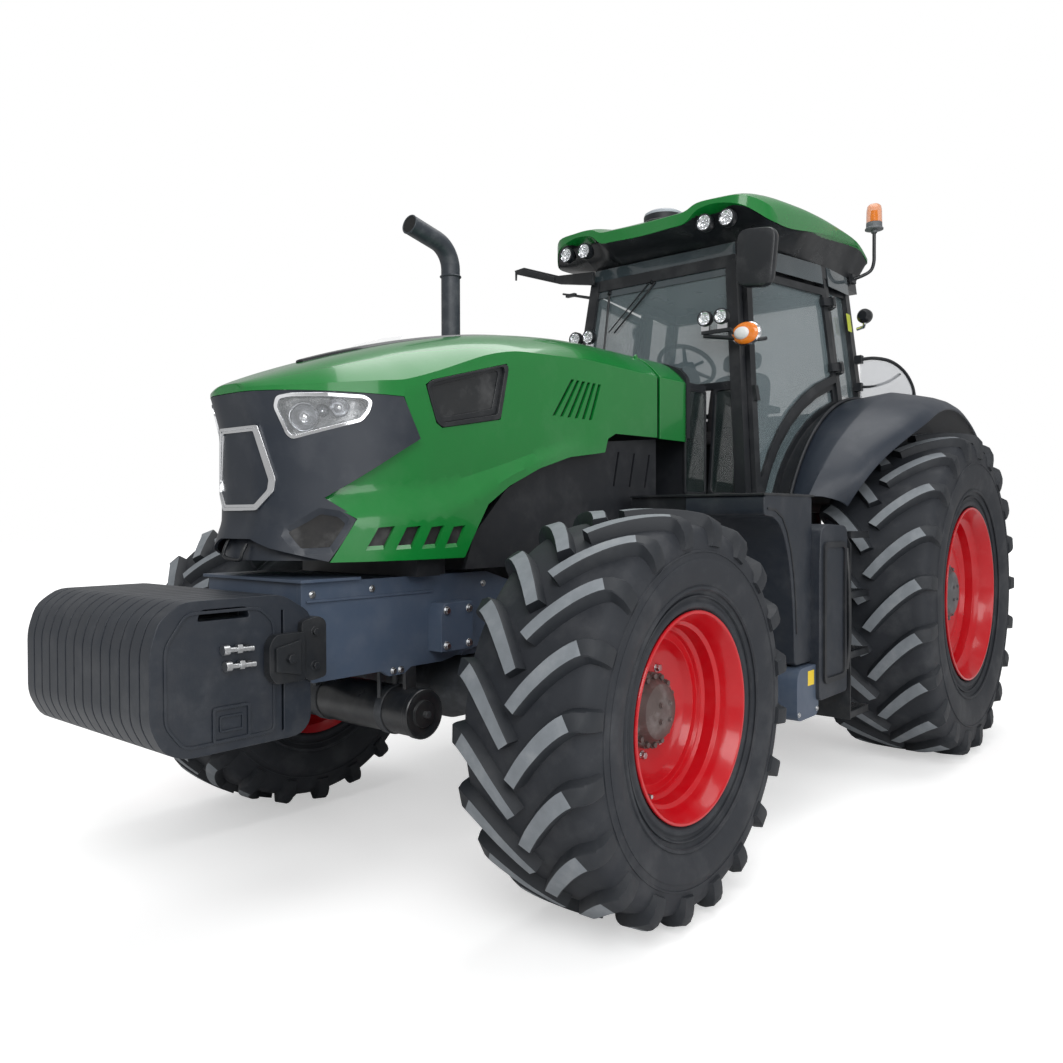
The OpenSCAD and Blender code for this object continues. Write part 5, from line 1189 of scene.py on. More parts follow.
def roof_grid(heights, lift, inset=0.0):
    """The roof's upper or lower skin as a fine grid, rounded between the lines."""
    rows = []
    for side, lines in ((-1, list(reversed(roof_lines))), (1, roof_lines[1:])):
        for line in lines:
            y, front, rear = line[0], line[1], line[2]
            row = []
            for share, h in zip(roof_shares, line[heights]):
                x = front + (rear - front) * share
                row.append((x + (0.6 - x) * inset, side * y * (1 - inset), cab_top + h / 1000 + lift))
            rows.append(smooth_line(row, 5))
    columns = [smooth_line([row[j] for row in rows], 4) for j in range(len(rows[0]))]
    return [[at(*p) for p in column] for column in columns]


def windscreen_x(z):
    return 1.420 - (z - 1.650) * 0.1133


def cab_side(x, z):
    return 1.197 - 0.2 * max(x, 0.350) - 0.1293 * z


def pull_in(p, z):
    """The place straight under a roof place, moved in to the cab's own walls."""
    x = min(max(p.x - rear_axle_x, -0.220), windscreen_x(z) + 0.004)
    y = min(abs(p.y), cab_side(x, z) + 0.004)
    return at(x, math.copysign(y, p.y), z)


def on_screen(y, z, out=0.0):
    return at(windscreen_x(z) + out, y, z)


def build_roof():
    cap = Builder()
    over = roof_grid(3, -0.001)
    under = roof_grid(4, 0.0)
    between(cap, over, under)
    piece = cap.make("roof_cap", "chassis", green_gloss, bevel=0.004, angle=32)
    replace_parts(piece, "cab_roof")
    fascia = Builder()
    top = roof_grid(4, -0.0005, 0.006)
    low = [[pull_in(p, 3.238) for p in row] for row in top]
    foot = [[pull_in(p, cab_top + 0.001) for p in row] for row in top]
    between(fascia, top, low)
    between(fascia, low, foot)
    piece = fascia.make("roof_fascia_skin", "chassis", black_gloss, angle=30)
    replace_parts(piece, "roof_fascia")
    band = Builder()
    half = lambda z: cab_side(windscreen_x(z), z) - 0.010
    rows = [[on_screen(half(z) * k / 8, z, 0.016) for k in range(-8, 9)] for z in (3.035, 3.232)]
    backs = [[p - Vector((0.006, 0, 0)) for p in row] for row in rows]
    between(band, rows, backs)
    for side in (1, -1):
        for x0, x1 in ((0.400, 1.180), (-0.030, 0.330)):
            xs = [x0 + (x1 - x0) * k / 8 for k in range(9)]
            outs = [[at(x, side * (cab_side(x, z) + 0.012), z) for x in xs] for z in (3.105, 3.232)]
            ins = [[p - Vector((0, side * 0.006, 0)) for p in row] for row in outs]
            between(band, outs, ins)
    band.make("cab_upper_glass", "chassis", cab_glass_upper, angle=30)
    lamps = Builder()
    for y in (0.445, 0.593):
        for side in (1, -1):
            round_lamp(lamps, at(1.436, side * y, 3.305), Vector((1, 0, 0)), 0.052, 0.070, 7)
    piece = lamps.make("roof_work_lamps", "chassis", None,
                       materials=[black_gloss, lamp_reflector, clear_lens])
    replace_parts(piece, "work_lamps")
    # round aerial on its dark base, and a low dark bar beside it
    aerial = Builder()
    profile = [(0.135, 0.0), (0.135, 0.030), (0.128, 0.040), (0.128, 0.075), (0.122, 0.092),
               (0.100, 0.105), (0.060, 0.113), (0.0005, 0.116)]
    foot = at(1.23, 0, 3.420)
    aerial.turned(profile[:4], foot, sides=64, mark=0)
    aerial.turned(profile[3:], foot, sides=64, mark=1)
    aerial.make("roof_aerial", "chassis", None, materials=[black_plastic, dome_grey], angle=30)
    bar = Builder()
    bar.box(at(1.02, 0.12, 3.455), at(1.20, 0.36, 3.512))
    bar.make("roof_bar", "chassis", black_plastic, bevel=0.012, segments=3)


def round_lamp(b, centre, ahead, radius, depth, cells, black=0, bright=1, clear=2):
    """A round lamp: black barrel and rim, bright bowl with small cells, clear front."""
    turn = ahead.to_track_quat("Z", "Y")
    b.turned([(0.0005, -0.01), (radius * 0.6, -0.01), (radius * 0.92, depth * 0.25), (radius, depth * 0.4),
              (radius, depth - 0.004), (radius * 0.96, depth), (radius * 0.86, depth),
              (radius * 0.84, depth - 0.006)], centre, ahead, 36, black)
    b.turned([(radius * 0.84, depth - 0.006), (radius * 0.78, depth - 0.018),
              (radius * 0.5, depth - 0.026), (0.0005, depth - 0.028)], centre, ahead, 36, bright)
    for k in range(cells):
        a = 2 * math.pi * k / max(1, cells - 1)
        r = 0.0 if k == cells - 1 else radius * 0.48
        spot = centre + turn @ Vector((r * math.cos(a), r * math.sin(a), depth - 0.026))
        b.turned([(radius * 0.24, 0.0), (radius * 0.20, 0.008), (radius * 0.13, 0.003), (0.0005, 0.001)],
                 spot, ahead, 16, bright)
    b.turned([(radius * 0.85, depth - 0.007), (radius * 0.7, depth - 0.003), (0.0005, depth - 0.001)],
             centre, ahead, 36, clear)


def build_beacon():
    b = Builder()
    x, y = -0.150, 0.870
    arm = [at(-0.100, 0.740, 3.235), at(-0.120, 0.790, 3.250), at(x, 0.845, 3.285), at(x, 0.868, 3.340),
           at(x, y, 3.420), at(x, y, 3.560)]
    b.tube(smooth_line(arm, 4), 0.012, 14, 0)
    b.box(at(-0.135, 0.722, 3.205), at(-0.065, 0.750, 3.265), 0)
    foot = at(x, y, 0)
    b.turned([(0.0005, 3.545), (0.020, 3.545), (0.022, 3.562), (0.062, 3.568), (0.062, 3.576),
              (0.054, 3.584), (0.054, 3.612), (0.052, 3.616), (0.0005, 3.616)], foot, mark=1)
    b.turned([(0.043, 3.610), (0.047, 3.614), (0.054, 3.618), (0.0530, 3.622), (0.0515, 3.700),
              (0.046, 3.730), (0.034, 3.743), (0.016, 3.749), (0.0005, 3.750)], foot, mark=2)
    b.turned([(0.0005, 3.618), (0.022, 3.618), (0.026, 3.650), (0.022, 3.700), (0.0005, 3.704)], foot,
             mark=3)
    piece = b.make("beacon_lamp", "chassis", None,
                   materials=[black_paint, support_grey, amber_clear, amber])
    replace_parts(piece, "beacon")


def build_mirrors():
    b = Builder()
    outline = rounded([(0.645, 3.235), (0.895, 3.205), (0.860, 2.865), (0.630, 2.900)], 0.075, 6)
    inner = grown(outline, -0.018)
    front, back = 1.476, 1.424
    rows = []
    for line, x in ((grown(outline, -0.022), front), (grown(outline, -0.006), front - 0.006),
                    (outline, front - 0.020), (outline, back + 0.006), (grown(outline, -0.004), back),
                    (inner, back), (inner, back + 0.005)):
        rows.append([at(x, y, z) for y, z in line])
    b.hoops(rows)
    every = [list(range(len(outline)))]
    b.add(rows[0], every)
    b.add(rows[-1], every, 1)
    b.tube([at(1.45, 0.800, 3.200), at(1.43, 0.780, 3.150), at(1.36, 0.700, 3.118), at(1.29, 0.590, 3.095),
            at(1.262, 0.520, 3.085)], 0.015, 12, 0)
    b.box(at(1.250, 0.520, 3.060), at(1.290, 0.575, 3.120), 0)
    # bare arm on the right with its block, and a short stay under it
    arm = [(-0.500, 3.215), (-0.500, 3.125), (-0.790, 3.180), (-1.195, 3.318), (-1.205, 3.345),
           (-1.115, 3.352), (-0.800, 3.240)]
    b.prism(arm, lambda u, v, s: at(1.322 if s else 1.298, u, v), 0)
    b.prism([(-0.830, 3.205), (-1.080, 3.295), (-1.080, 3.325), (-0.830, 3.235)],
            lambda u, v, s: at(1.330 if s else 1.292, u, v), 0)
    b.rod(at(1.310, -1.198, 3.340), at(1.310, -1.200, 3.275), 0.009, 0.007, 12, 0)
    b.tube([at(1.270, -0.520, 3.045), at(1.300, -0.620, 3.070), at(1.312, -0.767, 3.108)],
           [0.011, 0.010, 0.007], 10, 0)
    b.box(at(1.290, -0.740, 3.078), at(1.318, -0.660, 3.100), 0)
    piece = b.make("mirror_set", "chassis", None, materials=[black_gloss, mirror_glass], bevel=0.002)
    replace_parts(piece, "mirrors")


def build_side_lamps():
    b = Builder()
    for side in (1, -1):
        bar = [at(1.345, side * 0.770, 2.600), at(1.40, side * 0.735, 2.590),
               at(1.448, side * 0.640, 2.600), at(1.452, side * 0.420, 2.640)]
        b.tube(smooth_line(bar, 4), 0.012, 12, 0)
        b.side_box(side, (1.440, 0.410, 2.648), (1.468, 0.600, 2.668), 0)
        b.tube([at(1.452, side * 0.600, 2.655), at(1.452, side * 0.640, 2.604)], 0.010, 10, 0)
        for y, z in ((0.432, 2.742), (0.541, 2.742)):
            b.box(at(1.442, side * y - 0.026, 2.664), at(1.462, side * y + 0.026, 2.700), 3)
            round_lamp(b, at(1.420, side * y, z), Vector((1, 0, 0)), 0.047, 0.058, 7)
        # oval indicator: bright back, amber disc and a clear dome set towards the cab
        for mark, shift, swell, lift in ((3, 0.0, 1.10, -0.008), (4, 0.0, 1.0, 0.0),
                                         (5, -0.016, 0.58, 0.014)):
            rows = []
            for h, q in ((-0.020, 0.9), (0.0, 1.0), (0.012, 0.97), (0.020, 0.86), (0.026, 0.6),
                         (0.028, 0.001)):
                rows.append([at(1.440 + lift + h, side * (0.690 + shift + 0.086 * swell * q * c),
                                2.625 + 0.066 * swell * q * s) for c, s in turns(40)])
            b.hoops(rows, mark)
    piece = b.make("side_lamp_set", "chassis", None,
                   materials=[black_gloss, lamp_reflector, clear_lens, chrome, amber, white_plastic])
    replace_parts(piece, "side_lamps")


def build_cab_trim():
    b = Builder()
    # wipers on the windscreen
    for (y0, z0), (y1, z1), r in (((-0.031, 3.075), (-0.334, 2.780), 0.007),
                                  ((-0.085, 3.075), (-0.379, 2.790), 0.005),
                                  ((-0.393, 3.039), (-0.413, 2.560), 0.008)):
        b.rod(on_screen(y0, z0, 0.020), on_screen(y1, z1, 0.020), r, r * 0.8, 10)
    b.rod(on_screen(-0.393, 3.085, 0.002), on_screen(-0.393, 3.050, 0.026), 0.016, 0.012, 14)
    b.rod(on_screen(-0.060, 3.105, 0.002), on_screen(-0.058, 3.070, 0.026), 0.018, 0.012, 14)
    # frame strip under the windscreen and down its sides
    for side in (1, -1):
        edge = [(side * cab_side(windscreen_x(z), z), z) for z in (2.360, 2.60, 2.85, 3.08)]
        rows = [[on_screen(y, z, 0.004), on_screen(y, z, 0.012), on_screen(y - side * 0.020, z, 0.012),
                 on_screen(y - side * 0.020, z, 0.004)] for y, z in edge]
        b.hoops(rows)
    b.box(at(1.318, -0.615, 2.330), at(1.352, 0.615, 2.372))
    b.make("windscreen_trim", "chassis", black_gloss, bevel=0.002)
    # front wall beside the cowl, with its own window
    wall = Builder()
    glass = Builder()
    for side in (1, -1):
        outer = [(side * y, z) for y, z in ((0.428, 1.670), (0.698, 1.670), (0.624, 2.350),
                                            (0.428, 2.350))]
        inner = [(side * y, z) for y, z in ((0.446, 1.700), (0.676, 1.700), (0.604, 2.322),
                                            (0.446, 2.322))]
        place = lambda y, z, d: at(windscreen_x(z) + 0.008 - d, y, z)
        ring_between(wall, rounded(outer, 0.01), rounded(inner, 0.03), place, 0.030, 0.0)
        skin(glass, rounded(grown(inner, 0.003), 0.03), lambda y, z, d: place(y, z, d + 0.012), 0.12,
             thickness=0.005)
        beside = [(1.475, 1.700), (1.690, 1.700), (1.690, 2.290), (1.475, 2.290)]
        face = lambda u, v, d: at(u, side * (0.440 - d), v)
        ring_between(wall, rounded(grown(beside, 0.018), 0.02), rounded(beside, 0.02), face, 0.012, 0.0)
        skin(glass, rounded(grown(beside, 0.003), 0.02), lambda u, v, d: face(u, v, d + 0.004), 0.12,
             thickness=0.004)
    wall.make("cab_front_walls", "chassis", black_paint, bevel=0.003)
    glass.make("cab_front_lower_glass", "chassis", cab_glass_dark)
    # round rear lamp on its bright bracket, and a marker on the rear pillar
    lamp = Builder()
    lamp.tube([at(-0.020, 0.800, 2.860), at(-0.010, 0.850, 2.868), at(0.010, 0.862, 2.885),
               at(0.015, 0.862, 2.905)], 0.012, 12, 3)
    round_lamp(lamp, at(0.045, 0.862, 2.938), Vector((-1, 0, 0)), 0.050, 0.062, 7)
    lamp.make("rear_work_lamp", "chassis", None,
              materials=[black_gloss, lamp_reflector, clear_lens, chrome])
    marker = Builder()
    plain = [(0.060, 2.840), (-0.010, 2.840), (-0.010, 2.965), (0.060, 2.965)]
    marker.prism(rounded(plain, 0.008, 2),
                 lambda u, v, s: at(u, cab_side(u, v) + (0.0095 if s else 0.008), v))
    marker.make("pillar_marker", "chassis", yellow_green)
    # curved guard behind the cab with its clear pane
    guard = Builder()
    hoop = [(0.020, 0.838, 2.640), (-0.080, 0.90, 2.655), (-0.200, 0.97, 2.640), (-0.330, 1.02, 2.580),
            (-0.420, 1.05, 2.480), (-0.450, 1.06, 2.360)]
    low = [(0.020, 0.838, 2.450), (-0.080, 0.89, 2.460), (-0.200, 0.955, 2.500), (-0.300, 1.00, 2.560)]
    hoop_line = smooth_line([at(*p) for p in hoop], 5)
    low_line = smooth_line([at(*p) for p in low], 5)
    guard.tube(hoop_line, 0.012, 12, 0)
    guard.tube(low_line, 0.010, 12, 0)
    for z in (2.640, 2.450):
        guard.box(at(-0.010, 0.800, z - 0.028), at(0.040, 0.850, z + 0.028), 0)
    guard.make("rear_guard_hoop", "chassis", black_paint, bevel=0.001)
    pane = Builder()
    bottom = [(0.020, 0.842, 2.340), (-0.080, 0.90, 2.340), (-0.200, 0.97, 2.340), (-0.330, 1.02, 2.345),
              (-0.420, 1.05, 2.350)]
    over = smooth_line([at(*p) for p in hoop[:5]], 4)
    under = smooth_line([at(*p) for p in bottom], 4)
    lift = Vector((0.002, -0.004, 0))
    between(pane, [over, under], [[p + lift for p in over], [p + lift for p in under]])
    pane.make("rear_guard_pane", "chassis", grey_pane)


def cushion(b, low, high, round_off, steps=7):
    """A soft block, rounder all over where round_off is smaller."""
    cx, cy, cz = ((a + c) / 2 for a, c in zip(low, high))
    hx, hy, hz = ((c - a) / 2 for a, c in zip(low, high))
    power = lambda v: math.copysign(abs(v) ** (2 / round_off), v)
    rows = []
    for i in range(2 * steps + 1):
        t = -math.pi / 2 + math.pi * i / (2 * steps)
        round_t, rise = power(math.cos(t)), power(math.sin(t))
        rows.append([Vector((cx + hx * round_t * power(c), cy + hy * round_t * power(s), cz + hz * rise))
                     for c, s in turns(40)])
    b.hoops(rows)


def build_inside():
    seat = Builder()
    cushion(seat, at(0.190, -0.245, 2.045), at(0.675, 0.245, 2.150), 5.0)
    cushion(seat, at(0.250, -0.150, 2.095), at(0.640, 0.150, 2.158), 4.0)
    for side in (1, -1):
        cushion(seat, at(0.230, side * 0.215 - 0.035, 2.08), at(0.640, side * 0.215 + 0.035, 2.165), 3.5)
    lean = 0.205
    back = Builder()
    cushion(back, at(0.185, -0.235, 2.130), at(0.290, 0.235, 2.610), 4.5)
    cushion(back, at(0.240, -0.140, 2.200), at(0.305, 0.140, 2.580), 4.0)
    cushion(back, at(0.205, -0.150, 2.625), at(0.285, 0.150, 2.770), 3.5)
    for v in back.verts:
        v.x -= (v.z - 2.150) * lean
    seat.add(back.verts, back.faces)
    soft = seat.make("seat_cushions", "chassis", seat_cloth, angle=60)
    base = Builder()
    base.prism([(0.24, 1.645), (0.58, 1.645), (0.56, 1.80), (0.62, 2.04), (0.20, 2.04), (0.26, 1.80)],
               lambda u, v, s: at(u, 0.17 if s else -0.17, v))
    for side in (1, -1):
        base.box(at(0.20, side * 0.30 - 0.035, 2.290), at(0.56, side * 0.30 + 0.035, 2.335))
        base.rod(at(0.215, side * 0.265, 2.310), at(0.215, side * 0.215, 2.300), 0.018)
        base.prism([(0.10, 1.645), (0.86, 1.645), (0.86, 1.98), (0.62, 2.09), (0.10, 2.11)],
                   lambda u, v, s: at(u, side * (0.43 if s else 0.62), v))
    # armrest console with a lever and a screen on its arm
    base.rod(at(0.47, -0.33, 2.33), at(0.50, -0.33, 2.43), 0.013, 0.022)
    base.tube([at(0.66, -0.52, 2.07), at(0.74, -0.54, 2.30), at(0.80, -0.52, 2.44)], 0.014)
    base.prism([(-0.62, 2.42), (-0.40, 2.42), (-0.40, 2.60), (-0.62, 2.60)],
               lambda u, v, s: at(0.80 + (v - 2.42) * 0.2 + (0.030 if s else 0.0), u, v))
    base.make("seat_base_and_consoles", "chassis", black_plastic, bevel=0.008)
    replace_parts(soft, "seat")
    dash = Builder()
    dash.prism([(1.13, 1.645), (1.29, 1.645), (1.36, 2.30), (1.345, 2.48), (1.20, 2.545), (1.10, 2.44),
                (1.15, 2.20)], lambda u, v, s: at(u, 0.20 if s else -0.24, v))
    turn = Matrix.Rotation(math.radians(-35), 3, "Y")
    foot = at(1.13, 0, 2.30)
    dash.rod(foot, foot + turn @ Vector((0, 0, 0.32)), 0.045, 0.030)
    centre = foot + turn @ Vector((0, 0, 0.330))
    ring = [centre + turn @ Vector((0.190 * c, 0.190 * s, 0)) for c, s in turns(60)]
    dash.tube(ring, 0.0155, 14, closed=True)
    for a in (20, 140, 260):
        way = Vector((math.cos(math.radians(a)), math.sin(math.radians(a)), 0))
        dash.tube([centre + turn @ (way * 0.05 + Vector((0, 0, -0.012))),
                   centre + turn @ (way * 0.12 + Vector((0, 0, -0.008))), centre + turn @ (way * 0.188)],
                  [0.016, 0.012, 0.010], 10)
    dash.rod(centre + turn @ Vector((0, 0, -0.022)), centre + turn @ Vector((0, 0, 0.002)), 0.058, 0.046,
             28)
    dash.tube([foot + turn @ Vector((0.03, 0, 0.26)), foot + turn @ Vector((0.05, 0.16, 0.30))],
              [0.008, 0.011], 10)
    piece = dash.make("dash_and_wheel", "chassis", black_plastic, bevel=0.004, angle=38)
    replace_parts(piece, "dash")


build_roof()
build_beacon()
build_mirrors()
build_side_lamps()
build_cab_trim()
build_inside()


# Cowl, fenders, tanks, steps, weights and exhaust
rear_axle_z = 1.050


def build_cowl():
    b = Builder()
    front, rear = 2.010, 1.712
    shares = [math.sin(math.radians(90 * k / 12)) for k in range(-12, 13)]
    xs = [rear, rear + 0.010, rear + 0.030] + [rear + 0.06 + (front - rear - 0.06) * k / 5
                                               for k in range(6)]

    def shrink(x):
        return 0.016 * max(0.0, 1 - (x - rear) / 0.03) ** 2

    def section(x, depth):
        low_z = 1.985
        d = depth + shrink(x)
        edge = [at(x, -(half_w(x) - d), z) for z in (low_z, 2.10, 2.22)]
        crown = [crown_point(x, s, d) for s in shares]
        return edge + crown + [Vector((p.x, -p.y, p.z)) for p in reversed(edge)]

    between(b, [section(x, 0.0) for x in xs], [section(x, 0.012) for x in xs])
    for side in (1, -1):
        b.prism([(2.025, 2.36), (2.055, 2.39), (2.067, 2.45), (2.055, 2.462), (2.043, 2.45), (2.010, 2.42),
                 (1.98, 2.42), (1.98, 2.36)], lambda u, v, s: at(u, side * (0.335 if s else 0.320), v))
    piece = b.make("cowl_skin", "chassis", green_gloss, bevel=0.003, angle=30)
    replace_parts(piece, "cowl")


fender_line = [(0.0, 1.299), (0.05, 1.309), (0.20, 1.319), (0.42, 1.334), (0.45, 1.330), (0.66, 1.303),
               (0.80, 1.282), (0.90, 1.258), (0.965, 1.230), (1.0, 1.199)]


def build_fender(side, tag):
    b = Builder()
    inner_y = 0.8385
    steps = 56
    rows, unders = [], []
    for i in range(steps + 1):
        a = math.radians(28 + 112 * i / steps)
        open_share = min(1.0, i / steps / 0.36)
        width = 0.350 + 0.258 * (3 * open_share ** 2 - 2 * open_share ** 3)
        # the front corner is rounded away
        corner = max(0.0, 1 - i / 5)
        row, under = [], []
        for k, (s, r) in enumerate(fender_line):
            fall = 0.0 if s < 0.66 else corner ** 2 * 0.05 * (s - 0.66) / 0.34
            y = inner_y + (width - corner ** 2 * 0.06) * s
            turn = a + corner * 0.05 * max(0.0, s - 0.5)
            for rr, out in ((r - fall, row), (r - fall - 0.008, under)):
                out.append(at(rr * math.cos(turn), side * (y - (0.007 if out is under and k > 7 else 0)),
                              rear_axle_z + rr * math.sin(turn)))
        rows.append(row)
        unders.append(under)
    between(b, rows, unders)
    piece = b.make("fender_skin_" + tag, "chassis", fender_plastic, bevel=0.003, angle=32)
    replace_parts(piece, "fender_" + tag)
    seal = Builder()
    path = [at(1.314 * math.cos(math.radians(a)), side * 0.836, rear_axle_z
               + 1.314 * math.sin(math.radians(a))) for a in range(29, 96, 3)]
    seal.tube(path, 0.012, 10)
    seal.make("fender_seal_" + tag, "chassis", black_plastic, angle=60)


def flat(side, y0, y1):
    """Places for a form that is drawn from the side and runs from y0 to y1."""
    return lambda u, v, s: at(u, side * (y1 if s else y0), v)


# places across the tractor: the tanks' inner wall and outer faces, and the lower box's face
tank_inner = 0.805
tank_outer = 1.235
rear_unit_outer = 1.285
lower_box_outer = 1.262


def build_tank(side, tag):
    tank = Builder()
    body = [(1.780, 0.800), (1.780, 1.662), (2.330, 1.662), (2.330, 1.560), (2.230, 1.552), (2.160, 1.520),
            (2.105, 1.455), (2.060, 1.360), (2.028, 1.250), (2.006, 1.120), (1.992, 0.960), (1.985, 0.800)]
    tank.prism(rounded(body, 0.03, 3), flat(side, tank_inner, tank_outer))
    rear = [(1.418, 0.600), (1.418, 1.470), (1.448, 1.505), (1.700, 1.515), (1.775, 1.480), (1.792, 1.30),
            (1.792, 0.600)]
    tank.prism(rounded(rear, 0.03, 3), flat(side, tank_inner, rear_unit_outer))
    piece = tank.make("tank_moulding_" + tag, "chassis", tank_plastic, bevel=0.026, segments=4, angle=32)
    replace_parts(piece, "tank_" + tag)
    trim = Builder()
    # raised panel with a sunk middle on the rear unit, a curved band on the main one
    place = lambda u, v, d: at(u, side * (rear_unit_outer + 0.006 - d), v)
    panel = rounded([(1.455, 0.680), (1.455, 1.420), (1.755, 1.420), (1.755, 0.680)], 0.045)
    middle = rounded([(1.480, 0.710), (1.480, 1.390), (1.730, 1.390), (1.730, 0.710)], 0.032)
    ring_between(trim, panel, middle, place, 0.012, -0.006)
    band = [(2.300, 1.598), (2.300, 1.588), (2.215, 1.580), (2.140, 1.545), (2.085, 1.478), (2.040, 1.380),
            (2.008, 1.265), (1.986, 1.125), (1.972, 0.960), (1.962, 0.960), (1.976, 1.125), (1.998, 1.268),
            (2.030, 1.385), (2.076, 1.485), (2.134, 1.555), (2.205, 1.592)]
    trim.prism(band, flat(side, tank_outer - 0.005, tank_outer + 0.0035))
    trim.tube([at(1.53, side * 1.05, 1.508), at(1.53, side * 1.05, 1.545), at(1.70, side * 1.05, 1.552),
               at(1.70, side * 1.05, 1.512)], 0.010, 10)
    trim.rod(at(1.62, side * 0.93, 1.505), at(1.62, side * 0.93, 1.545), 0.052, 0.048, 28)
    trim.make("tank_trim_" + tag, "chassis", black_plastic, bevel=0.003)
    deck = Builder()
    deck.prism([(1.760, 1.655), (1.760, 1.666), (2.340, 1.666), (2.340, 1.655)],
               flat(side, 0.480, tank_outer + 0.005))
    deck.prism([(2.000, 1.560), (2.000, 1.655), (2.320, 1.655), (2.320, 1.560)],
               flat(side, 0.480, tank_inner + 0.001))
    for k in range(8):
        deck.side_box(side, (1.80 + 0.055 * k, 0.86, 1.666), (1.83 + 0.055 * k, 1.20, 1.670))
    deck.make("tank_deck_" + tag, "chassis", black_paint, bevel=0.003)
    # lower box with rounded corners and a plain marker
    low = Builder()
    low.prism(rounded([(1.755, 0.525), (1.755, 0.790), (1.985, 0.790), (2.020, 0.740), (2.020, 0.525)],
                      0.05, 5), flat(side, 0.830, lower_box_outer), 0)
    low.side_box(side, (1.815, lower_box_outer - 0.0005, 0.690), (1.890, lower_box_outer + 0.0015, 0.765),
                 1)
    for x in (1.78, 2.00):
        low.bolt(at(x, side * lower_box_outer, 0.56), (0, side, 0), 0.018, 0.008, 2)
    low.make("lower_box_" + tag, "chassis", None, materials=[support_paint, yellow, steel], bevel=0.012,
             segments=3)


def build_steps():
    b = Builder()
    rear, front = 1.120, 1.400
    for side in (1, -1):
        y0, y1 = (0.965, 1.295) if side == 1 else (-1.295, -0.965)
        for z in (0.465, 0.795, 1.125, 1.455):
            for xa, xb, ya, yb in ((rear, rear + 0.012, y0, y1), (front - 0.012, front, y0, y1),
                                   (rear, front, y0, y0 + 0.010), (rear, front, y1 - 0.010, y1)):
                b.box(at(xa, ya, z - 0.022), at(xb, yb, z + 0.014))
            for k in range(7):
                y = y0 + 0.035 + 0.042 * k
                b.box(at(rear + 0.010, y, z - 0.006), at(front - 0.010, y + 0.008, z + 0.012))
        # side plates that carry the steps
        inner = 0.80
        plate = [(side * inner, 1.490), (side * 1.255, 1.490), (side * 1.300, 1.40), (side * 1.300, 0.44),
                 (side * 1.00, 0.44), (side * 0.95, 0.62), (side * inner, 0.80)]
        b.prism(plate, lambda u, v, s: at(1.402 if s else 1.412, u, v))
        hanger = [(side * inner, 1.490), (side * 1.02, 1.490), (side * 1.06, 1.40), (side * 1.06, 0.44),
                  (side * 0.97, 0.44), (side * 0.95, 0.62), (side * inner, 0.90)]
        b.prism(hanger, lambda u, v, s: at(1.106 if s else 1.116, u, v))
        b.tube(smooth_line([at(1.42, side * 1.28, 1.38), at(1.44, side * 1.30, 1.20),
                            at(1.43, side * 1.30, 0.90), at(1.415, side * 1.28, 0.72)], 4), 0.012, 12)
    piece = b.make("step_set", "chassis", black_paint, bevel=0.002, segments=1)
    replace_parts(piece, "steps")


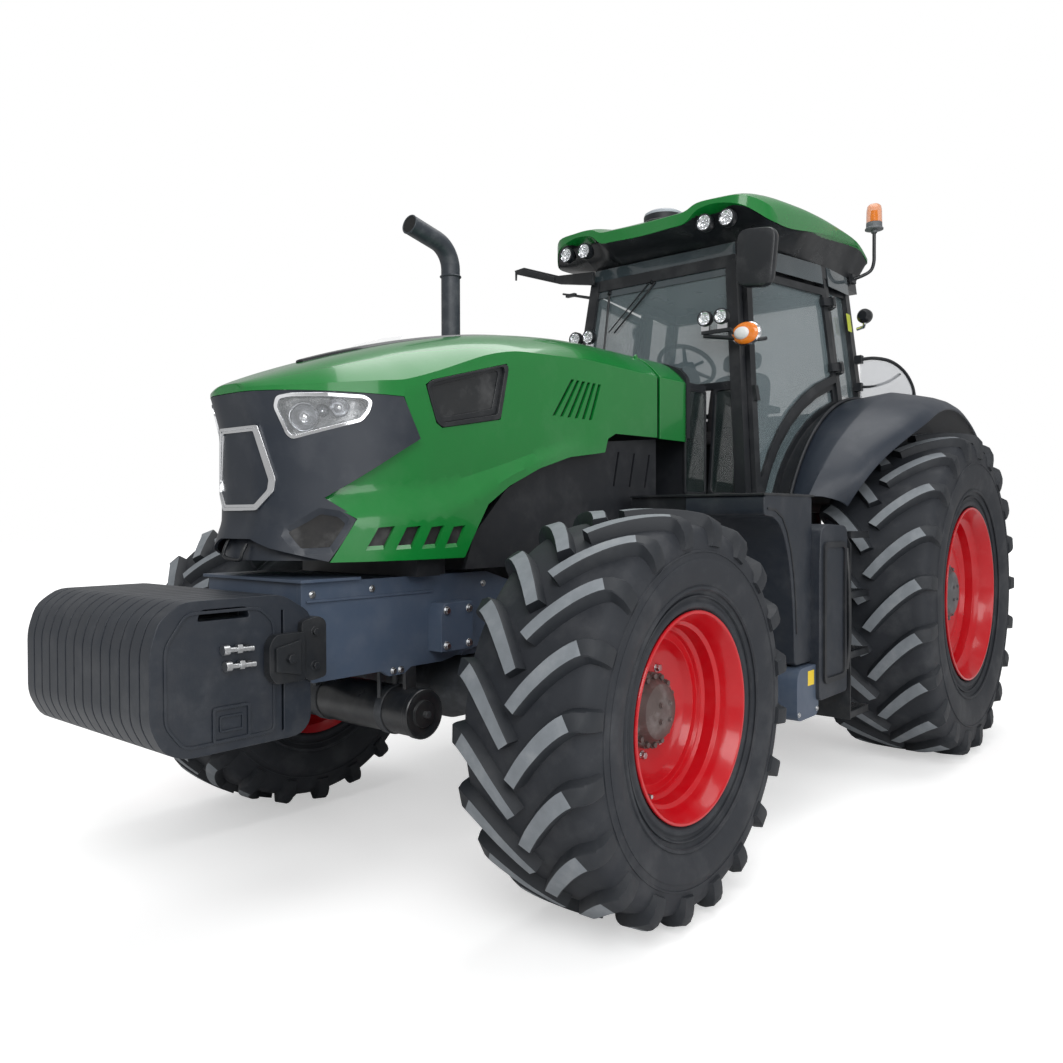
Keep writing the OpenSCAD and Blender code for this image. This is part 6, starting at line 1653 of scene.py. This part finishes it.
def build_weights():
    b = Builder()
    front, back = 4.950, 4.350
    low, top = 0.785, 1.290
    outline = [(back, low + 0.04), (back + 0.05, low), (front - 0.12, low), (front - 0.045, low + 0.030),
               (front, low + 0.12), (front, top - 0.15), (front - 0.030, top - 0.055),
               (front - 0.110, top), (back + 0.120, top), (back, top - 0.070), (back, low + 0.330),
               (back + 0.055, low + 0.330), (back + 0.055, low + 0.250), (back, low + 0.250)]
    outline = rounded(outline[:10], 0.035, 3) + outline[10:]
    slot = rounded([(4.596, 1.222), (4.610, 1.258), (4.775, 1.258), (4.789, 1.222)], 0.010, 2)
    groove = [(4.464, 0.815), (4.464, 1.235), (4.472, 1.235), (4.472, 0.815)]
    count, pitch, thick = 14, 0.066, 0.0600
    for i in range(count):
        y = (i - count / 2) * pitch + 0.0030
        holes = [slot] + ([groove] if i in (0, count - 1) else [])
        skin(b, outline, lambda u, v, d: at(u, y + d, v), 0.20, holes, (), thick)
    piece = b.make("weight_plates", "chassis", weight_paint, bevel=0.014, segments=3, angle=40)
    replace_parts(piece, "front_weights")
    face_y = count / 2 * pitch
    details = Builder()
    for side in (1, -1):
        place = lambda u, v, d: at(u, side * (face_y - 0.001 - d), v)
        outer = rounded([(4.600, 0.818), (4.600, 0.936), (4.740, 0.936), (4.740, 0.818)], 0.012, 2)
        ring_between(details, outer, grown(outer, -0.010), place, 0.006, -0.006)
        outer = rounded([(4.625, 0.850), (4.625, 0.905), (4.715, 0.905), (4.715, 0.850)], 0.010, 2)
        ring_between(details, outer, grown(outer, -0.007), place, 0.006, -0.004)
        outer = rounded([(4.500, 0.815), (4.500, 1.200), (4.560, 1.255), (4.830, 1.255), (4.905, 1.150),
                         (4.905, 0.900), (4.840, 0.815)], 0.03, 3)
        ring_between(details, outer, grown(outer, -0.010), place, 0.004, -0.003)
    details.make("weight_details", "chassis", weight_paint, bevel=0.0015)
    pins = Builder()
    for side in (1, -1):
        for x, z in ((4.700, 1.122), (4.692, 1.068)):
            spot = at(x, side * (face_y + 0.014), z)
            pins.rod(spot, spot - Vector((0.105, 0, 0.004)), 0.009, sides=16, mark=0)
            pins.rod(spot - Vector((0.012, 0, 0)), spot + Vector((0.010, 0, 0)), 0.017, sides=16, mark=0)
            pins.rod(spot - Vector((0.060, 0, 0)), spot - Vector((0.042, 0, 0)), 0.016, sides=6, mark=0)
            pins.rod(spot - Vector((0.080, side * 0.018, 0)), spot - Vector((0.080, -side * 0.006, 0)),
                     0.012, sides=12, mark=1)
    pins.make("weight_pins", "chassis", None, materials=[steel, black_paint], bevel=0.001)
    clamp = Builder()
    clamp.box(at(4.292, -0.455, 1.006), at(4.349, 0.455, 1.144))
    clamp.box(at(4.352, -0.455, 1.038), at(4.402, 0.455, 1.112))
    for side in (1, -1):
        y0 = side * face_y
        block = rounded([(4.400, 0.985), (4.400, 1.155), (4.520, 1.155), (4.545, 1.120), (4.545, 1.020),
                         (4.520, 0.985)], 0.012, 2)
        clamp.prism(block, flat(side, face_y - 0.002, face_y + 0.034))
        clamp.prism([(4.425, 1.010), (4.425, 1.130), (4.525, 1.110), (4.525, 1.030)],
                    flat(side, face_y + 0.030, face_y + 0.046))
        arm = rounded([(4.300, 0.985), (4.300, 1.185), (4.330, 1.205), (4.405, 1.190), (4.405, 1.000),
                       (4.370, 0.975)], 0.015, 2)
        clamp.prism(arm, flat(side, face_y - 0.030, face_y + 0.022))
        for z in (1.03, 1.15):
            clamp.bolt(at(4.350, side * (face_y + 0.022), z), (0, side, 0), 0.024, 0.014)
        clamp.rod(at(4.47, y0 + side * 0.034, 1.07), at(4.47, y0 + side * 0.062, 1.07), 0.017, sides=6)
    piece = clamp.make("weight_carrier", "chassis", black_paint, bevel=0.004)
    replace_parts(piece, "weight_clamp")


def build_support():
    b = Builder()
    for side in (1, -1):
        plate = [(3.081, 1.020), (3.081, 1.250), (3.280, 1.310), (4.290, 1.310), (4.290, 0.975),
                 (4.240, 0.930), (3.900, 0.930), (3.860, 0.905), (3.780, 0.905), (3.740, 0.930),
                 (3.560, 0.930)]
        b.prism(plate, flat(side, 0.295, 0.320), 0)
        lug = [(3.450, 0.985), (3.450, 1.190), (3.620, 1.190), (3.640, 1.150), (3.640, 0.985)]
        b.prism(lug, flat(side, 0.318, 0.400), 0)
        for x, z in ((3.475, 1.16), (3.475, 1.01), (3.61, 1.16), (3.61, 1.01)):
            b.bolt(at(x, side * 0.400, z), (0, side, 0), 0.024, 0.014, 1)
        for x in (3.800, 3.840):
            b.bolt(at(x, side * 0.320, 0.925), (0, side, 0), 0.020, 0.012, 1)
        for x, z in ((4.240, 1.265), (4.240, 1.020), (3.300, 1.255), (3.180, 1.12), (3.95, 1.27)):
            b.bolt(at(x, side * 0.320, z), (0, side, 0), 0.020, 0.010, 1)
        b.side_box(side, (3.62, 0.318, 1.235), (4.27, 0.328, 1.243), 0)
    b.box(at(4.265, -0.295, 0.990), at(4.290, 0.295, 1.310), 0)
    b.box(at(3.300, -0.296, 1.285), at(4.265, 0.296, 1.308), 0)
    b.box(at(4.020, -0.340, 1.311), at(4.305, 0.340, 1.323), 0)
    b.box(at(3.082, -0.295, 1.03), at(3.140, 0.295, 1.24), 0)
    b.box(at(3.190, -0.296, 0.936), at(3.410, 0.296, 0.990), 0)
    piece = b.make("support_frame", "chassis", None, materials=[support_paint, steel], bevel=0.004,
                   segments=2)
    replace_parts(piece, "front_support")
    tank = Builder()
    centre = at(3.740, 0, 0.740)
    profile = [(0.0005, -0.402), (0.055, -0.402), (0.058, -0.392), (0.088, -0.394), (0.100, -0.402),
               (0.105, -0.396), (0.105, -0.372), (0.100, -0.368), (0.100, -0.10), (0.102, 0.0)]
    profile = profile + [(r, -y) for r, y in reversed(profile[:-1])]
    tank.lathe(profile, centre, 1, 64, 0)
    for y in (-0.22, 0.22):
        tank.lathe([(0.101, y - 0.022), (0.106, y - 0.020), (0.106, y + 0.020), (0.101, y + 0.022)],
                   centre, 1, 64, 1)
        tank.rod(at(3.740, y, 0.840), at(3.740, y, 0.930), 0.014, sides=12, mark=1)
        tank.rod(at(3.650, y, 0.800), at(3.650, y, 0.935), 0.009, sides=10, mark=1)
        tank.rod(at(3.830, y, 0.800), at(3.830, y, 0.935), 0.009, sides=10, mark=1)
    for side in (1, -1):
        tank.box(at(3.710, side * 0.307 - 0.010, 0.835), at(3.770, side * 0.307 + 0.010, 0.932), 0)
        tank.rod(at(3.74, side * 0.402, 0.740), at(3.74, side * 0.425, 0.740), 0.016, sides=6, mark=1)
    piece = tank.make("air_tank_body", "chassis", None, materials=[black_gloss, casting_paint],
                      bevel=0.002)
    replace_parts(piece, "air_tank")


def build_exhaust():
    b = Builder()
    x, y, r = 2.540, -0.640, 0.055
    bend, bend_z, lean = 0.150, 3.000, math.radians(78)
    path = [at(x, y, z) for z in (2.10, 2.40, 2.70, bend_z)]
    for k in range(1, 15):
        a = lean * k / 14
        path.append(at(x + bend - bend * math.cos(a), y, bend_z + bend * math.sin(a)))
    ahead = Vector((math.sin(lean), 0, math.cos(lean)))
    tip = path[-1] + ahead * 0.205
    b.tube(path + [tip], r, 32, 0)
    turn = ahead.to_track_quat("Z", "Y")
    ring = [tip + turn @ Vector(((r - 0.003) * c, (r - 0.003) * s, 0)) for c, s in turns(40)]
    b.tube(ring, 0.005, 8, 0, closed=True)
    # painted shade: a near-black disc just inside the tip for the dark inside of the pipe
    b.rod(tip - ahead * 0.002, tip + ahead * 0.0015, r - 0.005, sides=32, mark=1)
    profile = [(0.0005, 1.690), (0.060, 1.690), (0.095, 1.720), (0.100, 1.735), (0.100, 2.060),
               (0.094, 2.085), (0.060, 2.115), (0.058, 2.160), (0.0005, 2.160)]
    b.turned(profile, at(x, y, 0))
    for z in (2.18, 2.96):
        band = [at(x + 0.0575 * c, y + 0.0575 * s, z) for c, s in turns(40)]
        b.tube(band, 0.006, 8, 0, closed=True)
    b.box(at(2.510, -0.580, 1.760), at(2.570, -0.402, 1.800), 0)
    piece = b.make("exhaust_pipe", "chassis", None, materials=[exhaust_paint, painted_shade_black], bevel=0.001)
    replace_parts(piece, "exhaust")


build_cowl()
for side, tag in both_sides:
    build_fender(side, tag)
    build_tank(side, tag)
build_steps()
build_weights()
build_support()
build_exhaust()


# Floor, light and camera
def make_floor():
    mesh = bpy.data.meshes.new("floor")
    s = 60
    mesh.from_pydata([(-s, -s, 0), (s, -s, 0), (s, s, 0), (-s, s, 0)], [], [[0, 1, 2, 3]])
    floor = bpy.data.objects.new("floor", mesh)
    bpy.context.scene.collection.objects.link(floor)
    material, tree, bsdf = shader("pale floor", Roughness=0.8)
    bsdf.inputs["Base Color"].default_value = (0.86, 0.86, 0.86, 1)
    bsdf.inputs["Specular IOR Level"].default_value = 0.0
    rays = tree.nodes.new("ShaderNodeLightPath")
    glow = tree.nodes.new("ShaderNodeEmission")
    glow.inputs["Color"].default_value = (1, 1, 1, 1)
    either = math_node(tree, "MAXIMUM", rays.outputs["Is Camera Ray"], rays.outputs["Is Transmission Ray"])
    far = tree.nodes.new("ShaderNodeVectorMath")
    far.operation = "LENGTH"
    link(tree, place_of(tree), far.inputs[0])
    fill = spread(tree, far.outputs["Value"], 3.0, 14.0, 0.46, 1.0)
    link(tree, math_node(tree, "MULTIPLY", either, fill), glow.inputs["Strength"])
    add = tree.nodes.new("ShaderNodeAddShader")
    link(tree, bsdf.outputs[0], add.inputs[0])
    link(tree, glow.outputs[0], add.inputs[1])
    link(tree, add.outputs[0], tree.nodes["Material Output"].inputs["Surface"])
    mesh.materials.append(material)


def make_world():
    world = bpy.data.worlds.new("soft studio")
    bpy.context.scene.world = world
    world.use_nodes = True
    tree = world.node_tree
    background = tree.nodes["Background"]
    rays = tree.nodes.new("ShaderNodeLightPath")
    seen = math_node(tree, "MAXIMUM", rays.outputs["Is Camera Ray"], rays.outputs["Is Transmission Ray"])
    strength = math_node(tree, "ADD", math_node(tree, "MULTIPLY", seen, 0.54), 0.46)
    background.inputs["Color"].default_value = (1, 1, 1, 1)
    link(tree, strength, background.inputs["Strength"])


def area_lamp(name, place, aim, size, power):
    lamp = bpy.data.lights.new(name, "AREA")
    lamp.shape = "RECTANGLE"
    lamp.size, lamp.size_y = size
    lamp.energy = power
    lamp_object = bpy.data.objects.new(name, lamp)
    bpy.context.scene.collection.objects.link(lamp_object)
    lamp_object.location = place
    lamp_object.rotation_euler = (Vector(aim) - Vector(place)).to_track_quat("-Z", "Y").to_euler()


def make_camera():
    yaw, pitch, roll = (math.radians(a) for a in (220.04, -0.938, -0.168))
    forward = Vector((math.cos(pitch) * math.cos(yaw), math.cos(pitch) * math.sin(yaw), math.sin(pitch)))
    right = forward.cross(Vector((0, 0, 1))).normalized()
    up = right.cross(forward)
    right_rolled = right * math.cos(roll) + up * math.sin(roll)
    up_rolled = up * math.cos(roll) - right * math.sin(roll)
    camera = bpy.data.cameras.new("camera")
    camera.sensor_width = 36
    camera.lens = 30.78
    camera.clip_end = 200
    camera_object = bpy.data.objects.new("camera", camera)
    bpy.context.scene.collection.objects.link(camera_object)
    turn = Matrix((right_rolled, up_rolled, -forward)).transposed().to_4x4()
    camera_object.matrix_world = Matrix.Translation(at(6.3277, 3.1555, 1.5574)) @ turn
    bpy.context.scene.camera = camera_object


make_floor()
make_world()
make_camera()
area_lamp("key", (7.5, 5.5, 6.5), (0.5, 0, 1.2), (5, 5), 400)
area_lamp("fill", (3.0, 9.0, 3.5), (-0.5, 0, 1.2), (6, 4), 190)
area_lamp("top", (-1.0, 0.5, 8.0), (0, 0, 1.5), (7, 5), 290)
bpy.context.scene.view_settings.view_transform = "Standard"
